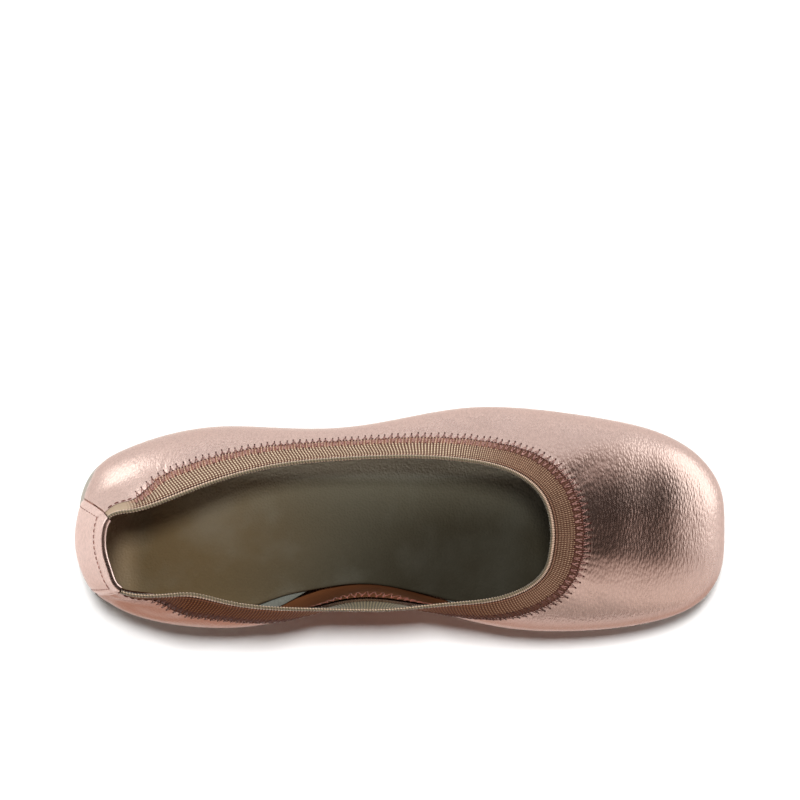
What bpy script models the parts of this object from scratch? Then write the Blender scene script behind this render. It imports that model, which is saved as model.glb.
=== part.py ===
"""A ballet flat for the left foot: leather upper, elastic topline, heel strip, insole and moulded sole.

The shoe stands on its sole with its toe towards +X, its outer (little-toe) side towards +Y and up
along +Z. The origin is under the middle of its bounding box, on the ground. All sizes are in metres.

Upper, elastic and heel strip are cut from one curved wall. The wall is a ring of lines that run from
the feather line, where upper and sole meet, over the widest line and up to the topline.
"""
from collections import namedtuple
import math

import bmesh
import bpy
import numpy as np

MM = 0.001

# Driving dimensions
LENGTH = 235 * MM            # heel to toe
BALL_WIDTH = 81.6 * MM       # across the ball
BACK_HEIGHT = 57 * MM        # ground to the top of the heel
INSTEP_HEIGHT = 43 * MM      # ground to the topline over the instep, where the throat is

# Sole
SEAT_HEIGHT = 12 * MM        # ground to the sole's top face under the heel
FOREPART_HEIGHT = 4.6 * MM   # the same under the ball
ARCH_RISE = 7 * MM           # height of the sole's underside where the heel ends
TOE_SPRING = 7 * MM          # lift of the underside at the tip of the toe
BREAST = -0.185 * LENGTH     # front of the heel
BREAST_SLOPE = 1.2 * MM      # the heel's front face leans by this much
CLEAR = 1.5 * MM             # no other cut of the sole lies this close to the heel's front
SEAT_FRONT = -0.26 * LENGTH  # the sole's top face starts to fall here
BALL_BACK = 0.095 * LENGTH   # the flat stretch under the ball starts here
BALL_FRONT = 0.25 * LENGTH   # and ends here
SOLE_EDGE = 1.2 * MM         # rounding of the sole's lower edge
LIP = 0.5 * MM               # the sole's top rim stands out from its side by this much
LIP_HEIGHT = 1.4 * MM

# Wall and what lies on it
WALL = 1.6 * MM              # leather and lining together
GAP = 0.3 * MM               # between pieces that touch
LASTING = 6 * MM             # width of the upper's margin between sole and insole
WEBBING_WIDTH = 12.2 * MM
WEBBING_LAP = 3.6 * MM       # the webbing covers the leather's edge by this much
WEBBING = 1.0 * MM           # thickness of the webbing
STRIP = 1.0 * MM             # thickness of the heel strip
STRIP_END = 1.8 * MM         # the strip stops this far up the wall from the feather line
CASING = 2.4 * MM            # thickness of the strip's rolled top
INSOLE = 3.0 * MM
INSOLE_CUP = 1.4 * MM        # the insole's rim rises by this much round the heel
INSOLE_SIDE = 1.9 * MM       # from the feather line in to the insole's side

# How full the wall is: the length of its curve's handles, as shares of rise and of slant distance
RISE = 0.40
REACH = 0.48

# Numbers of facets
WALL_STEPS = 11              # up the upper
WEBBING_STEPS = 92           # along the webbing
STRIP_STEPS = 12             # across the heel strip
SOLE_STATIONS = 40           # along the sole
INSOLE_STATIONS = 32         # along the insole

# The ring of sections. out is the wall's widest line and top is its upper edge. out_x, top_x: % of
# LENGTH. out_y, top_y: % of BALL_WIDTH. out_z: % of INSTEP_HEIGHT. top_z: 0 at INSTEP_HEIGHT, 100 at
# BACK_HEIGHT. tuck and lip are in millimetres: the feather line lies tuck inside the widest line, and
# the sole's edge lip outside the feather line. lean is the slope at the upper edge, in degrees.
Section = namedtuple("Section", "name out_x out_y out_z tuck lip top_x top_y top_z lean")
SECTIONS = (
    Section("back",                    -49.3,  -8.6,  63, 2.2, 3.0, -44.1, -11.6,   93,  74),
    Section("strip edge, lateral",     -48.3,   9.5,  60, 2.2, 5.2, -43.3,   1.5,   93,  70),
    Section("heel corner, lateral",    -46.5,  23.1,  58, 2.2, 3.1, -40.4,   3.9,   84,  63),
    Section("heel side, lateral",      -42.1,  31.4,  56, 2.6, 2.0, -37.0,   6.4,   72,  50),
    Section("quarter, lateral",        -35.7,  37.7,  54, 3.0, 1.6, -32.6,  11.3,   54,  42),
    Section("quarter swell, lateral",  -28.1,  41.2,  51, 3.0, 1.4, -26.8,  17.4,   34,  46),
    Section("arch back, lateral",      -19.1,  40.7,  49, 3.0, 1.4, -18.7,  23.2,   11,  57),
    Section("waist, lateral",           -8.9,  40.8,  47, 3.2, 1.4,  -8.9,  26.1,   -6,  65),
    Section("waist front, lateral",      0.9,  45.2,  44, 3.4, 1.4,   0.0,  27.1,  -11,  65),
    Section("joint, lateral",           10.2,  49.5,  42, 3.6, 1.4,   7.7,  26.2,   -9,  60),
    Section("ball, lateral",            20.0,  49.1,  40, 3.6, 1.4,  14.0,  23.3,   -5,  51),
    Section("throat corner, lateral",   30.6,  45.1,  40, 3.6, 1.4,  18.5,  17.9,   -2,  34),
    Section("toe side, lateral",        39.8,  38.8,  41, 3.6, 1.4,  21.1,  10.9,    0,  22),
    Section("toe corner, lateral",      46.0,  28.6,  42, 3.6, 1.4,  22.2,   4.2,    0,  12),
    Section("toe front, lateral",       49.6,  13.4,  42, 3.6, 1.4,  22.6,  -1.5,    0,   8),
    Section("toe tip",                  50.2,  -5.5,  42, 3.6, 1.4,  22.7,  -6.9,    0,   8),
    Section("toe front, medial",        49.6, -23.2,  42, 3.6, 1.4,  22.5, -12.5,    0,   9),
    Section("toe corner, medial",       46.7, -36.2,  42, 3.6, 1.4,  22.0, -18.4,    0,  15),
    Section("toe side, medial",         40.5, -44.8,  41, 3.6, 1.4,  20.5, -24.5,   -1,  28),
    Section("throat corner, medial",    32.3, -48.9,  40, 3.6, 1.4,  17.8, -29.4,   -3,  39),
    Section("ball, medial",             23.8, -50.0,  40, 3.6, 1.4,  13.6, -33.0,   -6,  47),
    Section("joint, medial",            15.5, -48.0,  41, 3.8, 1.4,   8.5, -34.6,   -8,  60),
    Section("joint back, medial",        7.9, -42.6,  47, 2.6, 1.4,   3.6, -36.1,  -10,  80),
    Section("waist front, medial",       0.9, -35.8,  54, 1.8, 1.4,  -1.3, -37.6,  -12,  95),
    Section("waist, medial",            -6.4, -33.9,  56, 3.3, 1.4,  -6.4, -37.8,  -12,  97),
    Section("arch back, medial",       -13.6, -40.6,  58, 5.2, 1.4, -12.3, -37.3,   -4,  82),
    Section("quarter swell, medial",   -21.7, -46.8,  54, 4.2, 1.4, -19.1, -36.4,   10,  58),
    Section("quarter, medial",         -29.8, -48.0,  51, 3.2, 1.4, -26.0, -33.6,   32,  50),
    Section("heel side, medial",       -37.0, -45.3,  54, 2.8, 1.8, -31.7, -29.9,   52,  43),
    Section("heel corner, medial",     -42.6, -40.3,  56, 2.4, 2.6, -36.8, -30.5,   71,  80),
    Section("strip edge, medial",      -46.2, -32.6,  60, 2.2, 5.0, -41.6, -28.4,   93,  80),
    Section("back, medial",            -48.3, -22.3,  63, 2.2, 3.8, -43.2, -21.1,   93,  76),
)
STRIP_FROM, STRIP_TO = "strip edge, medial", "strip edge, lateral"


# ---------------------------------------------------------------- curves

def closed_spline(knots, values, at):
    """A smooth closed curve through values at knots (one knot more than values), read at the places at."""
    span = np.diff(knots)
    count = len(values)
    row = np.arange(count)
    slope = (np.roll(values, -1, 0) - values) / span[:, None]
    matrix = np.zeros((count, count))
    matrix[row, row] = 2 * (span + np.roll(span, 1))
    matrix[row, row - 1] += np.roll(span, 1)
    matrix[row, (row + 1) % count] += span
    bend = np.linalg.solve(matrix, 6 * (slope - np.roll(slope, 1, 0)))
    at = np.mod(at, knots[-1])
    here = np.clip(np.searchsorted(knots, at, "right") - 1, 0, count - 1)
    after = (here + 1) % count
    far = ((at - knots[here]) / span[here])[:, None]
    near = 1 - far
    curl = ((near ** 3 - near) * bend[here] + (far ** 3 - far) * bend[after]) * span[here][:, None] ** 2 / 6
    return near * values[here] + far * values[after] + curl


def bezier(start, leave, arrive, end, steps):
    """Points along cubic Bezier curves, one curve for each row of the four arrays."""
    t = np.linspace(0, 1, steps)[None, :, None]
    start, leave, arrive, end = (point[:, None, :] for point in (start, leave, arrive, end))
    return (1 - t) ** 3 * start + 3 * (1 - t) ** 2 * t * leave + 3 * (1 - t) * t ** 2 * arrive + t ** 3 * end


def unit(vectors):
    return vectors / np.linalg.norm(vectors, axis=-1, keepdims=True)


def ease(share):
    """Smooth step from 0 to 1."""
    share = np.clip(share, 0, 1)
    return share * share * (3 - 2 * share)


# ---------------------------------------------------------------- the sole's profile along the shoe

def toe_lift(x):
    toe = np.clip((x - BALL_FRONT) / (LENGTH / 2 - BALL_FRONT), 0, None)
    return TOE_SPRING * toe ** 2


def sole_top(x):
    """Height of the sole's top face."""
    slope = ease((x - SEAT_FRONT) / (BALL_BACK - SEAT_FRONT))
    return SEAT_HEIGHT + (FOREPART_HEIGHT - SEAT_HEIGHT) * slope + toe_lift(x)


def sole_bottom(x):
    """Height of the sole's underside: flat heel, arch, flat ball and toe spring."""
    arch = ARCH_RISE * ease((BALL_BACK - x) / (BALL_BACK - BREAST)) + toe_lift(x)
    return np.where(x < BREAST + BREAST_SLOPE / 2, 0.0, arch)


# ---------------------------------------------------------------- the wall

UNITS = np.array([LENGTH / 100, BALL_WIDTH / 100, INSTEP_HEIGHT / 100, MM, MM, LENGTH / 100,
                  BALL_WIDTH / 100, (BACK_HEIGHT - INSTEP_HEIGHT) / 100, math.radians(1)])
RING = np.array([section[1:] for section in SECTIONS]) * UNITS
OUT, TUCK, RIM, TOP, LEAN = slice(0, 3), 3, 4, slice(5, 8), 8
RING[:, TOP] += (0, 0, INSTEP_HEIGHT)


def ring_knots():
    """Places of the sections round the shoe, counted along the widest line."""
    steps = np.linalg.norm(np.roll(RING[:, OUT], -1, 0) - RING[:, OUT], axis=1)
    return np.concatenate([[0], np.cumsum(steps)])


KNOTS = ring_knots()
PERIOD = KNOTS[-1]
FINE = PERIOD * 1e-4         # a small step round the shoe, for slopes


def section_place(name):
    return KNOTS[[section.name for section in SECTIONS].index(name)]


def outward(turn, part):
    """Level unit vectors that point out of the shoe, square to one of the ring's two lines."""
    along = closed_spline(KNOTS, RING, turn + FINE) - closed_spline(KNOTS, RING, turn - FINE)
    across, ahead = along[:, part][:, 1], along[:, part][:, 0]
    level = np.stack([-across, ahead, np.zeros(len(turn))], axis=1)
    return unit(level)


def feather(turn):
    """Points of the feather line, where the wall turns in under the foot."""
    row = closed_spline(KNOTS, RING, turn)
    point = row[:, OUT] - outward(turn, OUT) * row[:, TUCK, None]
    point[:, 2] = sole_top(point[:, 0]) + GAP
    return point


def wall_lines(turn):
    """The wall's outer face as lines from its upper edge, over the widest line, down to the feather line."""
    row = closed_spline(KNOTS, RING, turn)
    out, top, lean = row[:, OUT], row[:, TOP], row[:, LEAN, None]
    up = np.array([[0, 0, 1.0]])
    slope = outward(turn, TOP) * np.cos(lean) - up * np.sin(lean)
    slant = np.linalg.norm(top - out, axis=1)[:, None]
    rise = (top - out)[:, 2:]
    above = bezier(top, top + slope * slant * REACH, out + up * rise * RISE, out, 40)
    foot = feather(turn)
    drop = (out - foot)[:, 2:]
    toe_in = foot + outward(turn, OUT) * row[:, TUCK, None] * 0.55 + up * drop * 0.06
    below = bezier(out, out - up * drop * 0.5, toe_in, foot, 24)
    return np.concatenate([above, below[:, 1:]], axis=1)


def wall(turn, drops, lift):
    """Points of the wall: drops along it from its upper edge, lift outside its outer face.

    turn has one entry a line; drops and lift are arrays with one row a line, or one row for them all.
    """
    lines = wall_lines(turn)
    onward = wall_lines(turn + FINE) - wall_lines(turn - FINE)
    downward = np.gradient(lines, axis=1)
    face = unit(np.cross(onward, downward))
    gone = np.linalg.norm(np.diff(lines, axis=1), axis=2)
    gone = np.concatenate([np.zeros((len(turn), 1)), np.cumsum(gone, axis=1)], axis=1)
    drops = np.broadcast_to(drops, (len(turn), np.shape(drops)[-1]))
    lift = np.broadcast_to(lift, drops.shape)
    points = np.empty(drops.shape + (3,))
    for line in range(len(turn)):
        for axis in range(3):
            spot = np.interp(drops[line], gone[line], lines[line, :, axis])
            normal = np.interp(drops[line], gone[line], face[line, :, axis])
            points[line, :, axis] = spot + normal * lift[line]
    return points


def wall_depth(turn):
    """Length of each line of the wall, from its upper edge to the feather line."""
    return np.linalg.norm(np.diff(wall_lines(turn), axis=1), axis=2).sum(axis=1)


# ---------------------------------------------------------------- meshes

def material(name, colour, roughness, metallic):
    made = bpy.data.materials.new(name)
    made.use_nodes = True
    shader = made.node_tree.nodes["Principled BSDF"]
    shader.inputs["Base Color"].default_value = (*colour, 1)
    shader.inputs["Roughness"].default_value = roughness
    shader.inputs["Metallic"].default_value = metallic
    made.diffuse_color = (*colour, 1)
    return made


def add_piece(name, points, faces, finish):
    """A closed body from points and faces, with doubled points merged and all faces turned outwards."""
    mesh = bpy.data.meshes.new(name)
    mesh.from_pydata(points.tolist(), [], faces)
    form = bmesh.new()
    form.from_mesh(mesh)
    bmesh.ops.remove_doubles(form, verts=form.verts, dist=1e-6)
    bmesh.ops.recalc_face_normals(form, faces=form.faces)
    form.to_mesh(mesh)
    form.free()
    mesh.shade_smooth()
    mesh.set_sharp_from_angle(angle=math.radians(40))
    mesh.materials.append(finish)
    piece = bpy.data.objects.new(name, mesh)
    collection.objects.link(piece)
    return piece


def hoop(loops, closed):
    """Points and faces of a hoop: one closed loop of points a line, joined to the next line's.

    A closed hoop joins its last line to its first, and an open one has a cap at each end.
    """
    lines, size = loops.shape[:2]
    faces = []
    for line in range(lines if closed else lines - 1):
        here, there = line * size, (line + 1) % lines * size
        for spot in range(size):
            after = (spot + 1) % size
            faces.append((here + spot, here + after, there + after, there + spot))
    if not closed:
        last = (lines - 1) * size
        half = size // 2
        for start in (0, last):
            for spot in range(half - 1):
                facing = size - 1 - spot
                faces.append((start + spot, start + spot + 1, start + facing - 1, start + facing))
    return loops.reshape(-1, 3), faces


def slab(name, rim, stations, steps, levels, top, bottom, crossings, finish):
    """A flat body inside a closed rim line, such as a sole.

    rim gives points round the body for places round the shoe. The body is cut across at evenly eased
    stations, and also at each x in steps. levels are (inset, face, rise) from the underside up: how far
    inside the rim, measured from the bottom or the top face, and raised by rise. top and bottom give a
    face's height for x and for the distance inside the rim. crossings is the number of pieces that
    each line across the top is cut into.
    """
    turn = np.linspace(0, PERIOD, 1500, endpoint=False)
    line = rim(turn)
    back, toe = np.argmin(line[:, 0]), np.argmax(line[:, 0])
    turn = np.concatenate([turn[back:], turn[:back] + PERIOD])
    line = np.roll(line, -back, axis=0)
    toe = (toe - back) % len(turn)
    first, last = line[0, 0], line[toe, 0]
    share = (1 - np.cos(np.linspace(0, math.pi, stations + 1))) / 2
    x = first + (last - first) * share
    for step in steps:
        x = x[np.abs(x - step) > CLEAR]
    x = np.sort(np.append(x, steps))
    inner = x[1:-1]
    lateral = np.interp(inner, line[:toe + 1, 0], turn[:toe + 1])
    medial = np.interp(-inner[::-1], -line[toe:, 0], turn[toe:])
    around = np.concatenate([[turn[0]], lateral, [turn[toe]], medial])
    edge = rim(around)
    along = rim(around + FINE) - rim(around - FINE)
    out = unit(np.stack([-along[:, 1], along[:, 0]], axis=1))
    side = np.abs(out[:, 1]) > 0.9
    out[side] = np.column_stack([np.zeros(side.sum()), 1 / out[side, 1]])
    points, faces = [], []
    count = len(around)
    for inset, face, rise in levels:
        spot = edge[:, :2] - out * inset
        height = (top if face == "top" else bottom)(spot[:, 0], np.full(count, inset)) + rise
        points.extend(np.column_stack([spot, height]).tolist())
    for level in range(len(levels) - 1):
        for here in range(count):
            there = (here + 1) % count
            faces.append((level * count + here, level * count + there,
                          (level + 1) * count + there, (level + 1) * count + here))
    for face, start, cuts in (("bottom", 0, 1), ("top", (len(levels) - 1) * count, crossings)):
        inset = levels[0][0] if face == "bottom" else levels[-1][0]
        rows = [[start] * (cuts + 1)]
        for station in range(1, len(x) - 1):
            left, right = start + station, start + count - station
            row = [left]
            width = math.dist(points[left][:2], points[right][:2])
            for cut in range(1, cuts):
                part = ease(cut / cuts)
                spot = np.array(points[left][:2]) * (1 - part) + np.array(points[right][:2]) * part
                inside = inset + min(part * width, (1 - part) * width, spot[0] - first)
                height = (top if face == "top" else bottom)(spot[:1], np.array([inside]))[0]
                row.append(len(points))
                points.append([*spot, height])
            rows.append(row + [right])
        rows.append([start + len(x) - 1] * (cuts + 1))
        for near, far in zip(rows, rows[1:]):
            for cut in range(cuts):
                corners = dict.fromkeys((near[cut], near[cut + 1], far[cut + 1], far[cut]))
                if len(corners) > 2:
                    faces.append(tuple(corners))
    return add_piece(name, np.array(points), faces, finish)


# ---------------------------------------------------------------- pieces

def wall_turns():
    """Places of the wall's lines round the shoe: those of the heel strip, then those of the webbing."""
    start, end = section_place(STRIP_TO), section_place(STRIP_FROM)
    strip = np.linspace(end - PERIOD, start, STRIP_STEPS + 1)
    webbing = np.linspace(start, end, WEBBING_STEPS + 1)
    return strip, webbing


def lapped_drops(depth):
    """The wall's rows, from the leather's edge down: two where the webbing laps it, then evenly down."""
    edge = WEBBING_WIDTH - WEBBING_LAP
    share = np.linspace(0, 1, WALL_STEPS + 1)[None, 1:]
    lap = np.broadcast_to([edge, WEBBING_WIDTH], (len(depth), 2))
    return np.concatenate([lap, WEBBING_WIDTH + (depth[:, None] - WEBBING_WIDTH) * share], axis=1)


def make_upper():
    """The leather and its lining as one wall, with the margin that is lasted in under the insole."""
    strip, webbing = wall_turns()
    turn = np.concatenate([strip[:-1], webbing[:-1]])
    drops = lapped_drops(wall_depth(turn))
    outer = wall(turn, drops, 0)
    inner = wall(turn, drops, -WALL)
    margin = outer[:, -1] - outward(turn, OUT) * LASTING
    margin[:, 2] = sole_top(margin[:, 0]) + GAP
    raised = margin + np.array([0, 0, WALL])
    loops = np.concatenate([outer, margin[:, None], raised[:, None], inner[:, ::-1]], axis=1)
    leather = material("rose foil nappa", (0.78, 0.50, 0.42), 0.32, 0.9)
    return add_piece("upper", *hoop(loops, closed=True), leather)


def make_webbing():
    """The elastic along the topline, lapped over the outside of the leather's edge."""
    turn = wall_turns()[1].copy()
    turn[0] += GAP
    turn[-1] -= GAP
    edge = WEBBING_WIDTH - WEBBING_LAP
    drops = np.array([[0, edge / 2, edge, WEBBING_WIDTH]])
    inner = wall(turn, drops, GAP)
    outer = wall(turn, drops, GAP + WEBBING)
    loops = np.concatenate([outer, inner[:, ::-1]], axis=1)
    fabric = material("ribbed elastic webbing", (0.55, 0.40, 0.30), 0.75, 0.0)
    return add_piece("elastic_binding", *hoop(loops, closed=False), fabric)


def make_strip():
    """The heel strip: a panel down the back whose upper end is rolled into a thick casing."""
    turn = wall_turns()[0].copy()
    turn[0] += GAP
    turn[-1] -= GAP
    rows = lapped_drops(wall_depth(turn))
    rows[:, -1] -= STRIP_END
    seat = rows[:, :1] - GAP
    outside = GAP + STRIP
    roll = np.linspace(0, math.pi, 7)[None, :]
    neck = np.repeat(seat, 2, axis=1) * np.array([[1, 0.5]])
    roll_drop = np.repeat(CASING / 2 * (1 - np.sin(roll)), len(turn), axis=0)
    drops = np.concatenate([rows[:, :0:-1], neck, roll_drop, neck[:, ::-1], seat, rows[:, 1:]], axis=1)
    below = rows.shape[1] - 1
    lift = np.concatenate([np.full(below + 2, outside), outside - CASING / 2 * (1 - np.cos(roll[0])),
                           np.full(2, outside - CASING), np.full(below + 1, GAP)])[None, :]
    leather = material("rose foil nappa strip", (0.80, 0.52, 0.44), 0.3, 0.9)
    return add_piece("heel_strip", *hoop(wall(turn, drops, lift), closed=False), leather)


def sole_rim(turn):
    lip = closed_spline(KNOTS, RING, turn)[:, RIM, None]
    return feather(turn) + outward(turn, OUT) * lip


def sole_face(x, inside):
    return sole_top(x)


def sole_underside(x, inside):
    return sole_bottom(x)


def make_sole():
    levels = ((1.5 * SOLE_EDGE + LIP, "bottom", 0), (0.4 * SOLE_EDGE + LIP, "bottom", 0.35 * SOLE_EDGE),
              (LIP, "bottom", SOLE_EDGE), (LIP, "top", -LIP_HEIGHT - LIP / 2), (0, "top", -LIP_HEIGHT),
              (0, "top", -0.3 * LIP), (0.3 * LIP, "top", 0))
    rubber = material("moulded grey rubber", (0.62, 0.62, 0.58), 0.6, 0.0)
    steps = (BREAST, BREAST + BREAST_SLOPE)
    return slab("sole", sole_rim, SOLE_STATIONS, steps, levels, sole_face, sole_underside, 1, rubber)


def insole_rim(turn):
    return feather(turn) - outward(turn, OUT) * INSOLE_SIDE


def insole_face(x, inside):
    """The insole's top: level across, with a rim that rises round the heel."""
    near_rim = np.clip(1 - inside / (10 * MM), 0, 1) ** 2
    heel = ease((-0.1 * LENGTH - x) / (0.25 * LENGTH))
    return insole_underside(x, inside) + INSOLE + INSOLE_CUP * near_rim * heel


def insole_underside(x, inside):
    return sole_top(x) + GAP + WALL + GAP


def make_insole():
    """The insole: it lies on the lasted margin, and a plug under it fills the margin's middle."""
    plug = LASTING - INSOLE_SIDE + GAP
    levels = ((plug + GAP, "bottom", -WALL - GAP), (plug, "bottom", 0), (0, "bottom", 0),
              (0.5 * MM, "top", -0.8 * MM), (0.8 * MM, "top", -0.2 * MM), (1.4 * MM, "top", 0))
    sock = material("olive metallic sock leather", (0.10, 0.09, 0.05), 0.45, 0.6)
    return slab("insole", insole_rim, INSOLE_STATIONS, (), levels, insole_face, insole_underside, 6, sock)


for leftover in list(bpy.data.objects):
    bpy.data.objects.remove(leftover)
collection = bpy.data.collections.new("ballet_flat")
bpy.context.scene.collection.children.link(collection)

make_upper()
make_webbing()
make_strip()
make_sole()
make_insole()
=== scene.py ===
"""A ballet flat for the left foot, dressed over its frame.

Foil leather upper with its lining, ribbed elastic topline with its zigzag, heel strip, sock on a foam
board, and a moulded rubber sole. Everything is in metres: toe towards +X, outer side towards +Y.
"""
from collections import namedtuple
from functools import partial
import math

import bmesh
import bpy
import numpy as np
from bpy.props import FloatProperty, FloatVectorProperty, PointerProperty
from bpy.types import Operator, Panel, PropertyGroup
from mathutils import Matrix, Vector


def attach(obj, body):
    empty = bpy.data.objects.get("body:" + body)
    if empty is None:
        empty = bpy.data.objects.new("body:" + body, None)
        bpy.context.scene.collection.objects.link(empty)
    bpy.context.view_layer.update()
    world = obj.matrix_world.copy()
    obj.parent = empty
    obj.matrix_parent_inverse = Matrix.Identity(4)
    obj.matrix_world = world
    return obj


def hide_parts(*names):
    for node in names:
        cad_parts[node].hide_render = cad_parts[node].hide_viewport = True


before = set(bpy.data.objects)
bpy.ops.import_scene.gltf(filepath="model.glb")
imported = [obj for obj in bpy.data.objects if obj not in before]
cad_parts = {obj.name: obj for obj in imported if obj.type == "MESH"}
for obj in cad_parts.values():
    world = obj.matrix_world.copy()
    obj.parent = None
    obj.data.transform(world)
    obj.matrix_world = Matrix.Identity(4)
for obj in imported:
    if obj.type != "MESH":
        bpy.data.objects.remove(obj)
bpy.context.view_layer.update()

bl_info = {
    "name": "Ballet flat",
    "version": (1, 0, 0),
    "blender": (4, 5, 0),
    "location": "3D View > Sidebar > Ballet flat",
    "description": "Builds a foil leather ballet flat with an elastic topline",
    "category": "Add Mesh",
}

MM = 0.001
CM = 0.01

# ---------------------------------------------------------------- the shoe's own sizes

LENGTH = 235 * MM            # heel to toe
BALL_WIDTH = 81.6 * MM       # across the ball
BACK_HEIGHT = 57 * MM        # ground to the top of the heel
INSTEP_HEIGHT = 43 * MM      # ground to the topline over the instep

SEAT_HEIGHT = 12 * MM        # ground to the sole's top face under the heel
FOREPART_HEIGHT = 4.6 * MM   # the same under the ball
ARCH_RISE = 7 * MM           # height of the sole's underside where the heel ends
TOE_SPRING = 7 * MM          # lift of the underside at the tip of the toe
BREAST = -0.185 * LENGTH     # front of the heel
BREAST_SLOPE = 1.2 * MM      # how far it slopes
SEAT_FRONT = -0.26 * LENGTH  # the sole's top face starts to fall here
BALL_BACK = 0.095 * LENGTH   # the flat stretch under the ball
BALL_FRONT = 0.25 * LENGTH
SOLE_EDGE = 1.2 * MM         # rounding of the tread's edge
LIP = 0.5 * MM               # how far the top's lip stands out
LIP_HEIGHT = 1.4 * MM

WALL = 1.6 * MM              # leather and lining together
LEATHER = 0.9 * MM           # the leather alone
GAP = 0.3 * MM               # air between pieces that lie on one another
LASTING = 6 * MM             # the upper's margin under the insole
WEBBING_WIDTH = 12.2 * MM
WEBBING_LAP = 3.6 * MM       # what lies over the leather
EDGE = WEBBING_WIDTH - WEBBING_LAP   # from the topline down to the leather's edge
WEBBING = 1.0 * MM           # thickness of the elastic
STRIP = 1.0 * MM             # and of the heel strip
STRIP_END = 1.8 * MM         # the strip ends this far above the feather line
CASING = 2.4 * MM            # across the roll at the strip's top
INSOLE = 3.0 * MM            # thickness of sock and board
INSOLE_CUP = 1.4 * MM        # how far the sock's rim rises at the heel
INSOLE_SIDE = 1.9 * MM       # from the feather line in to the sock's rim

RISE = 0.40                  # how far the wall's curve holds its slope, at its widest line
REACH = 0.48                 # and at its upper edge, as shares

SOCK = 1.3 * MM              # the insole's leather
RIB_SPACING = 1.07 * MM      # the webbing's ribs, and the warp lines across them
CORD_WIDE = 0.78 * MM        # half of the webbing's edge cord, up and down
CORD_HIGH = 0.62 * MM        # and through the webbing
STITCH_LENGTH = 2.3 * MM     # one full turn of the zigzag along the edge
INNER_ROW = 8.9 * MM         # the zigzag's three rows of needle holes, as drops from the topline
MIDDLE_ROW = 11.9 * MM
OUTER_ROW = 14.7 * MM
PLAIN_END = 11 * MM          # no zigzag on this last stretch beside the heel strip
PLAIN_RISE = 5.6 * MM        # the seen border of leather and webbing is this much higher there
PUCKER = 0.07 * MM           # how far the leather swells between two stitches
PUCKER_ROW = 13.6 * MM       # where it swells most
PLEAT = 0.07 * MM            # the pleats where the leather turns in at the sole
CASING_ROW = 9.6 * MM        # the row that closes the heel strip's casing, as a drop from its top
SIDE_ROW = 2.6 * MM          # the rows along the strip's sides
STRIP_STITCH = 2.2 * MM      # from one stitch to the next
STRIP_THREAD = 1.5 * MM      # what shows of each stitch

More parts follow.
